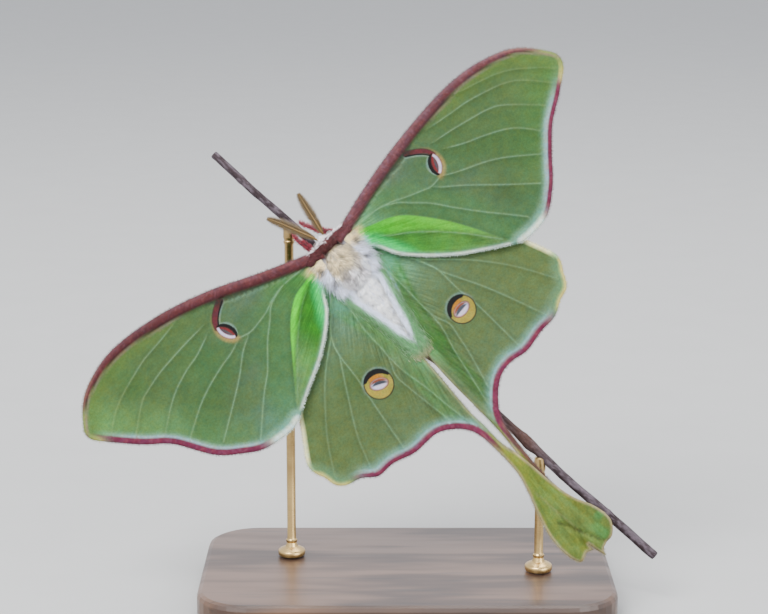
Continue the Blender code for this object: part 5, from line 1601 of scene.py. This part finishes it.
def dress(node, material):
    """Give a carried-over solid its finish."""
    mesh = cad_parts[node].data
    mesh.materials.clear()
    mesh.materials.append(material)


eye_finish = eye_material()
for node in ("eye_right", "eye_left"):
    dress(node, eye_finish)
leg_finish = leg_material()
for node in LEGS:
    dress(node, leg_finish)


def tube_points(line, radii, sides, bump=None):
    """Rings of a round tube along a line, and its faces, with flat ends."""
    ahead = unit(np.gradient(line, axis=0))
    side = unit(np.cross(ahead, UP))
    rise = np.cross(side, ahead)
    angles = np.linspace(0, 2 * np.pi, sides, endpoint=False)
    radius = np.tile(np.asarray(radii)[:, None], (1, sides))
    if bump is not None:
        radius = radius + bump(np.arange(len(line))[:, None], angles[None, :])
    points = (
        line[:, None, :]
        + radius[..., None] * (np.cos(angles)[None, :, None] * side[:, None, :]
                               + np.sin(angles)[None, :, None] * rise[:, None, :])
    ).reshape(-1, 3)
    faces = []
    for i in range(len(line) - 1):
        for j in range(sides):
            k = (j + 1) % sides
            faces.append((i * sides + j, i * sides + k, (i + 1) * sides + k, (i + 1) * sides + j))
    faces.append(list(range(sides))[::-1])
    faces.append([(len(line) - 1) * sides + j for j in range(sides)])
    return points, faces


def make_antenna(name, course):
    """A feather-like feeler: a tapered golden shaft with a close comb on both sides."""
    line = smooth_line(course, BARB_SPACING)
    count = len(line)
    share = np.linspace(0, 1, count)
    points, faces = tube_points(line, SHAFT_RADIUS - SHAFT_TAPER * share, SHAFT_SIDES)
    colours = np.repeat(lay(ink("gold"), "gold", share, 0.8), SHAFT_SIDES, axis=0)
    ahead = unit(np.gradient(line, axis=0))
    side = unit(np.cross(ahead, UP))
    first, last = int(count * 0.1), count - 2
    at = np.repeat(np.arange(first, last), 2)
    s = np.tile((-1, 1), last - first)[:, None]
    share = (at - first) / (last - first)
    reach = BARB_REACH * np.sin(np.pi * np.minimum(1.0, share * 0.93 + 0.06)) ** 0.6 + 0.08
    dice = np.random.default_rng(len(name)).random((len(at), 8))
    way = unit(ahead[at] * 0.72 + side[at] * s * 0.95 - 0.18 * UP)
    root = line[at] + side[at] * s * 0.04
    tip = root + way * (reach * (0.92 + 0.12 * dice[:, 0]))[:, None] + ahead[at] * 0.12
    broad = unit(np.cross(way, UP)) * 0.06
    barbs, barb_faces = spikes(root, (root + tip) / 2 - 0.02 * UP, tip, broad, 0.05 * UP)
    shades = ink("comb") * (0.8 + 0.4 * dice[:, 1:]).reshape(-1, 1)
    places = np.vstack([points, barbs])
    faces += (barb_faces + len(points)).tolist()
    mesh = piece(name + "_comb", places, faces, antenna_finish, (name,)).data
    add_colours(mesh, pigment(np.vstack([colours, shades])))
    add_places(mesh, places)


antenna_finish = fur_material("antenna_comb", 0.6, 0.1)
for name, course in ANTENNA_COURSES.items():
    make_antenna(name, course)

# Twig and stand

def bark_material():
    """Grey-purple bark, reddish at its knot, with pale breathing spots and fine cracks."""
    n = Nodes("bark", 0.75, 0.12)
    place = n.attribute("place")
    tint = n.attribute("tint", "Color")
    grain = n.ramp(n.noise(n.scaled(place, (3.0, 0.8, 3.0)), 2.2, 6.0, 0.75), 0.3, 0.7, 0.5, 1.5)
    spots = n.ramp(n.cells(n.scaled(place, (2.2, 1.4, 2.2)), 1.0), 0.1, 0.2, 1.0, 0.0)
    colour = n.dimmed(tint, grain)
    n.colour(n.mix(n.math("MULTIPLY", spots, 0.6), colour, (0.085, 0.07, 0.08, 1.0)))
    n.rough(grain, 0.5, 1.5, 0.5, 0.75)
    n.bump(n.math("ADD", grain, spots), 0.6, 0.00012)
    return n.material


def make_twig():
    """The cut length of twig with ridged bark, a knot, leaf scars and sawn ends."""
    flat = smooth_line(TWIG_COURSE, 0.3)
    line = np.column_stack([flat, np.full(len(flat), TWIG_HEIGHT)])
    share = np.linspace(0, 1, len(line))
    knot = KNOT_SWELL * bell(line[:, 1] - KNOT_Y, KNOT_LENGTH)
    radii = TWIG_RADII[0] + (TWIG_RADII[1] - TWIG_RADII[0]) * share + knot - BARK_DEPTH
    for scar in LEAF_SCARS:
        radii += SCAR_SWELL * bell(line[:, 1] - scar, 0.45)
    radii[[0, -1]] -= END_BEVEL

    def bark(row, angle):
        y = line[row[:, 0], 1][:, None]
        ridges = BARK_RIDGES * np.sin(angle * 7 + 0.6 * np.sin(y * 0.5))
        y, angle = np.broadcast_arrays(y, angle)
        cracks = BARK_CRACKS * lattice_noise(angle * 2.2, y * 0.7, 1.0, 90)
        lumps = BARK_LUMPS * lattice_noise(angle, y, 2.4, 91)
        rough = BARK_AT_KNOT * bell(y - KNOT_Y, 1.6) * lattice_noise(angle * 3, y * 2, 1.0, 92)
        return ridges + cracks + lumps + rough

    points, faces = tube_points(line, radii, TWIG_SIDES, bark)
    y = points[:, 1]
    patch = lattice_noise(points[:, 0] * 2.5 + points[:, 2] * 2, y * 0.7, 1.0, 93)
    # The pale grey patches are partly the bark's own grey and partly painted light, for its paler lit
    # side
    colours = lay(ink("bark"), "bark_grey", blend(-0.35, 0.45, patch))
    colours = lay(colours, "bark", 0.6 * blend(0.2, 0.7, -patch), 0.7)
    # Painted highlights: pale flecks stand for glints on the bark
    highlight_fleck = lattice_noise(points[:, 0] * 4 - points[:, 2] * 4, y * 2.2, 1.0, 95)
    colours = lay(colours, "bark_grey", 0.6 * blend(0.25, 0.6, highlight_fleck), 1.35)
    colours = lay(colours, "knot", 0.85 * bell(y - KNOT_Y - 1.5, 4.5))
    mesh = piece("twig_bark", points, faces, bark_material(), ("perch",)).data
    add_colours(mesh, pigment(colours))
    add_places(mesh, points)
    mesh.materials.append(cut_wood)
    for face in (mesh.polygons[-1], mesh.polygons[-2]):
        face.material_index = 1
        face.use_smooth = False


def wood_material(name, light, dark, scale, roughness, coat):
    """Wood with long grain, rings and pores."""
    n = Nodes(name, roughness, 0.4)
    place = n.own_place()
    wavy = n.noise(n.scaled(place, (6.0 * scale, 40.0 * scale, 40.0 * scale)), 1.0, 4.0, 0.6)
    rings = n.math("SINE", n.math("MULTIPLY", wavy, 34.0))
    share = n.ramp(rings, -1.0, 1.0, 0.0, 1.0)
    pores = n.ramp(n.noise(n.scaled(place, (60.0 * scale, 900.0 * scale, 900.0 * scale)), 1.0, 2.0),
                   0.55, 0.72, 1.0, 0.55)
    n.colour(n.dimmed(n.mix(share, light, dark), pores))
    n.rough(share, 0.0, 1.0, roughness - 0.05, roughness + 0.08)
    n.shader.inputs["Coat Weight"].default_value = coat
    n.shader.inputs["Coat Roughness"].default_value = 0.25
    n.bump(pores, 0.15, 0.00008)
    return n.material


def brass_material():
    """Satin brass with fine turning marks and a little tarnish."""
    n = Nodes("satin_brass", 0.32, 0.5, 1.0)
    place = n.own_place()
    turned = n.noise(n.scaled(place, (100.0, 100.0, 9000.0)), 1.0, 2.0)
    tarnish = n.ramp(n.noise(place, 180.0, 4.0), 0.35, 0.7, 0.0, 1.0)
    n.colour(n.mix(tarnish, (0.52, 0.36, 0.15, 1.0), (0.36, 0.24, 0.10, 1.0)))
    n.rough(turned, 0.3, 0.7, 0.26, 0.42)
    n.bump(turned, 0.12, 0.00004)
    return n.material


cut_wood = wood_material("cut_wood", (0.36, 0.25, 0.13, 1.0), (0.24, 0.15, 0.07, 1.0), 6.0, 0.8, 0.0)
make_twig()
dress("stand_base", wood_material("walnut", (0.075, 0.036, 0.018, 1.0), (0.030, 0.014, 0.008, 1.0),
                                  1.0, 0.42, 0.25))
brass_finish = brass_material()


def turned(profile, sides):
    """Points and faces of a form turned about an upright axis, with its tips on the axis."""
    radii, heights = np.array(profile).T
    angles = np.linspace(0, 2 * np.pi, sides, endpoint=False)
    across, up = (a[1:-1, None] for a in (radii, heights))
    rings = np.stack(np.broadcast_arrays(across * np.cos(angles), across * np.sin(angles), up), axis=2)
    tips = [(0.0, 0.0, heights[0]), (0.0, 0.0, heights[-1])]
    points = np.vstack([rings.reshape(-1, 3), tips])
    top, bottom = len(points) - 2, len(points) - 1
    last = top - sides
    faces = []
    for j in range(sides):
        k = (j + 1) % sides
        faces.append((top, j, k))
        faces += [(i + j, i + sides + j, i + sides + k, i + k) for i in range(0, last, sides)]
        faces.append((last + j, bottom, last + k))
    return points, faces


def make_rod(node):
    """A finely turned rod with a cup, rings and a stepped foot, where its solid stands."""
    low, high = (np.array(corner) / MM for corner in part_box(node))
    middle = (low + high) / 2
    broad = (high[0] - low[0]) / 2
    profile = [(r, high[2] + z) for r, z in ROD_HEAD]
    profile += [(r, low[2] + z) for r, z in ROD_FOOT]
    profile += [(broad + r, low[2] + z) for r, z in ROD_RIM] + [(0.0, low[2])]
    points, faces = turned(profile, ROD_SIDES)
    mesh = bpy.data.meshes.new(node + "_turned")
    mesh.from_pydata(((points + (middle[0], middle[1], 0.0)) * MM).tolist(), [], faces)
    mesh.update()
    mesh.shade_smooth()
    mesh.set_sharp_from_angle(angle=math.radians(ROD_SHARP_EDGE))
    mesh.materials.append(brass_finish)
    obj = linked(node + "_turned", mesh)
    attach(obj, "root")
    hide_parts(node)


for node in ("stand_rod_upper", "stand_rod_lower"):
    make_rod(node)

# Stage, light and camera

def floor_material():
    """Pale matt paper with the faintest tooth."""
    n = Nodes("pale_floor", 0.9, 0.2)
    place = n.own_place()
    tooth = n.ramp(n.noise(place, 60.0, 4.0), 0.3, 0.7, 0.97, 1.0)
    n.colour(n.dimmed((0.30, 0.30, 0.295, 1.0), tooth))
    return n.material


def area_light(name, place, aim, size, power):
    """A soft square light, placed and aimed in metres."""
    lamp = bpy.data.lights.new(name, "AREA")
    lamp.size = size
    lamp.energy = power
    obj = linked(name, lamp)
    obj.location = place
    obj.rotation_euler = (Vector(aim) - Vector(place)).to_track_quat("-Z", "Y").to_euler()


across = Vector((1, 0, 0))
up = Vector((0, math.sin(math.radians(LEAN_BACK)), math.cos(math.radians(LEAN_BACK))))
out = Vector((0, -math.cos(math.radians(LEAN_BACK)), math.sin(math.radians(LEAN_BACK))))

bpy.ops.mesh.primitive_plane_add(size=FLOOR_SIZE, location=(0, 0, 0))
floor = bpy.context.object
floor.name = "floor"
floor.data.materials.append(floor_material())

centre = thorax_root + across * 0.005
for name, place, size, power in LIGHTS:
    area_light(name, centre + Vector(place), centre, size, power)
world = bpy.data.worlds.new("studio")
bpy.context.scene.world = world
world.use_nodes = True
world.node_tree.nodes["Background"].inputs["Color"].default_value = (0.9, 0.93, 1.0, 1.0)
world.node_tree.nodes["Background"].inputs["Strength"].default_value = SKY_LIGHT

lens = bpy.data.cameras.new("camera")
lens.lens = LENS
lens.sensor_width = 36.0
lens.clip_start = 0.02
lens.clip_end = 20.0
camera = linked("camera", lens)
right, above, away = CAMERA_FROM_THORAX
camera.location = thorax_root + (across * right + up * above + out * away) * MM
camera.rotation_euler = Matrix((across, up, out)).transposed().to_euler()
bpy.context.scene.camera = camera
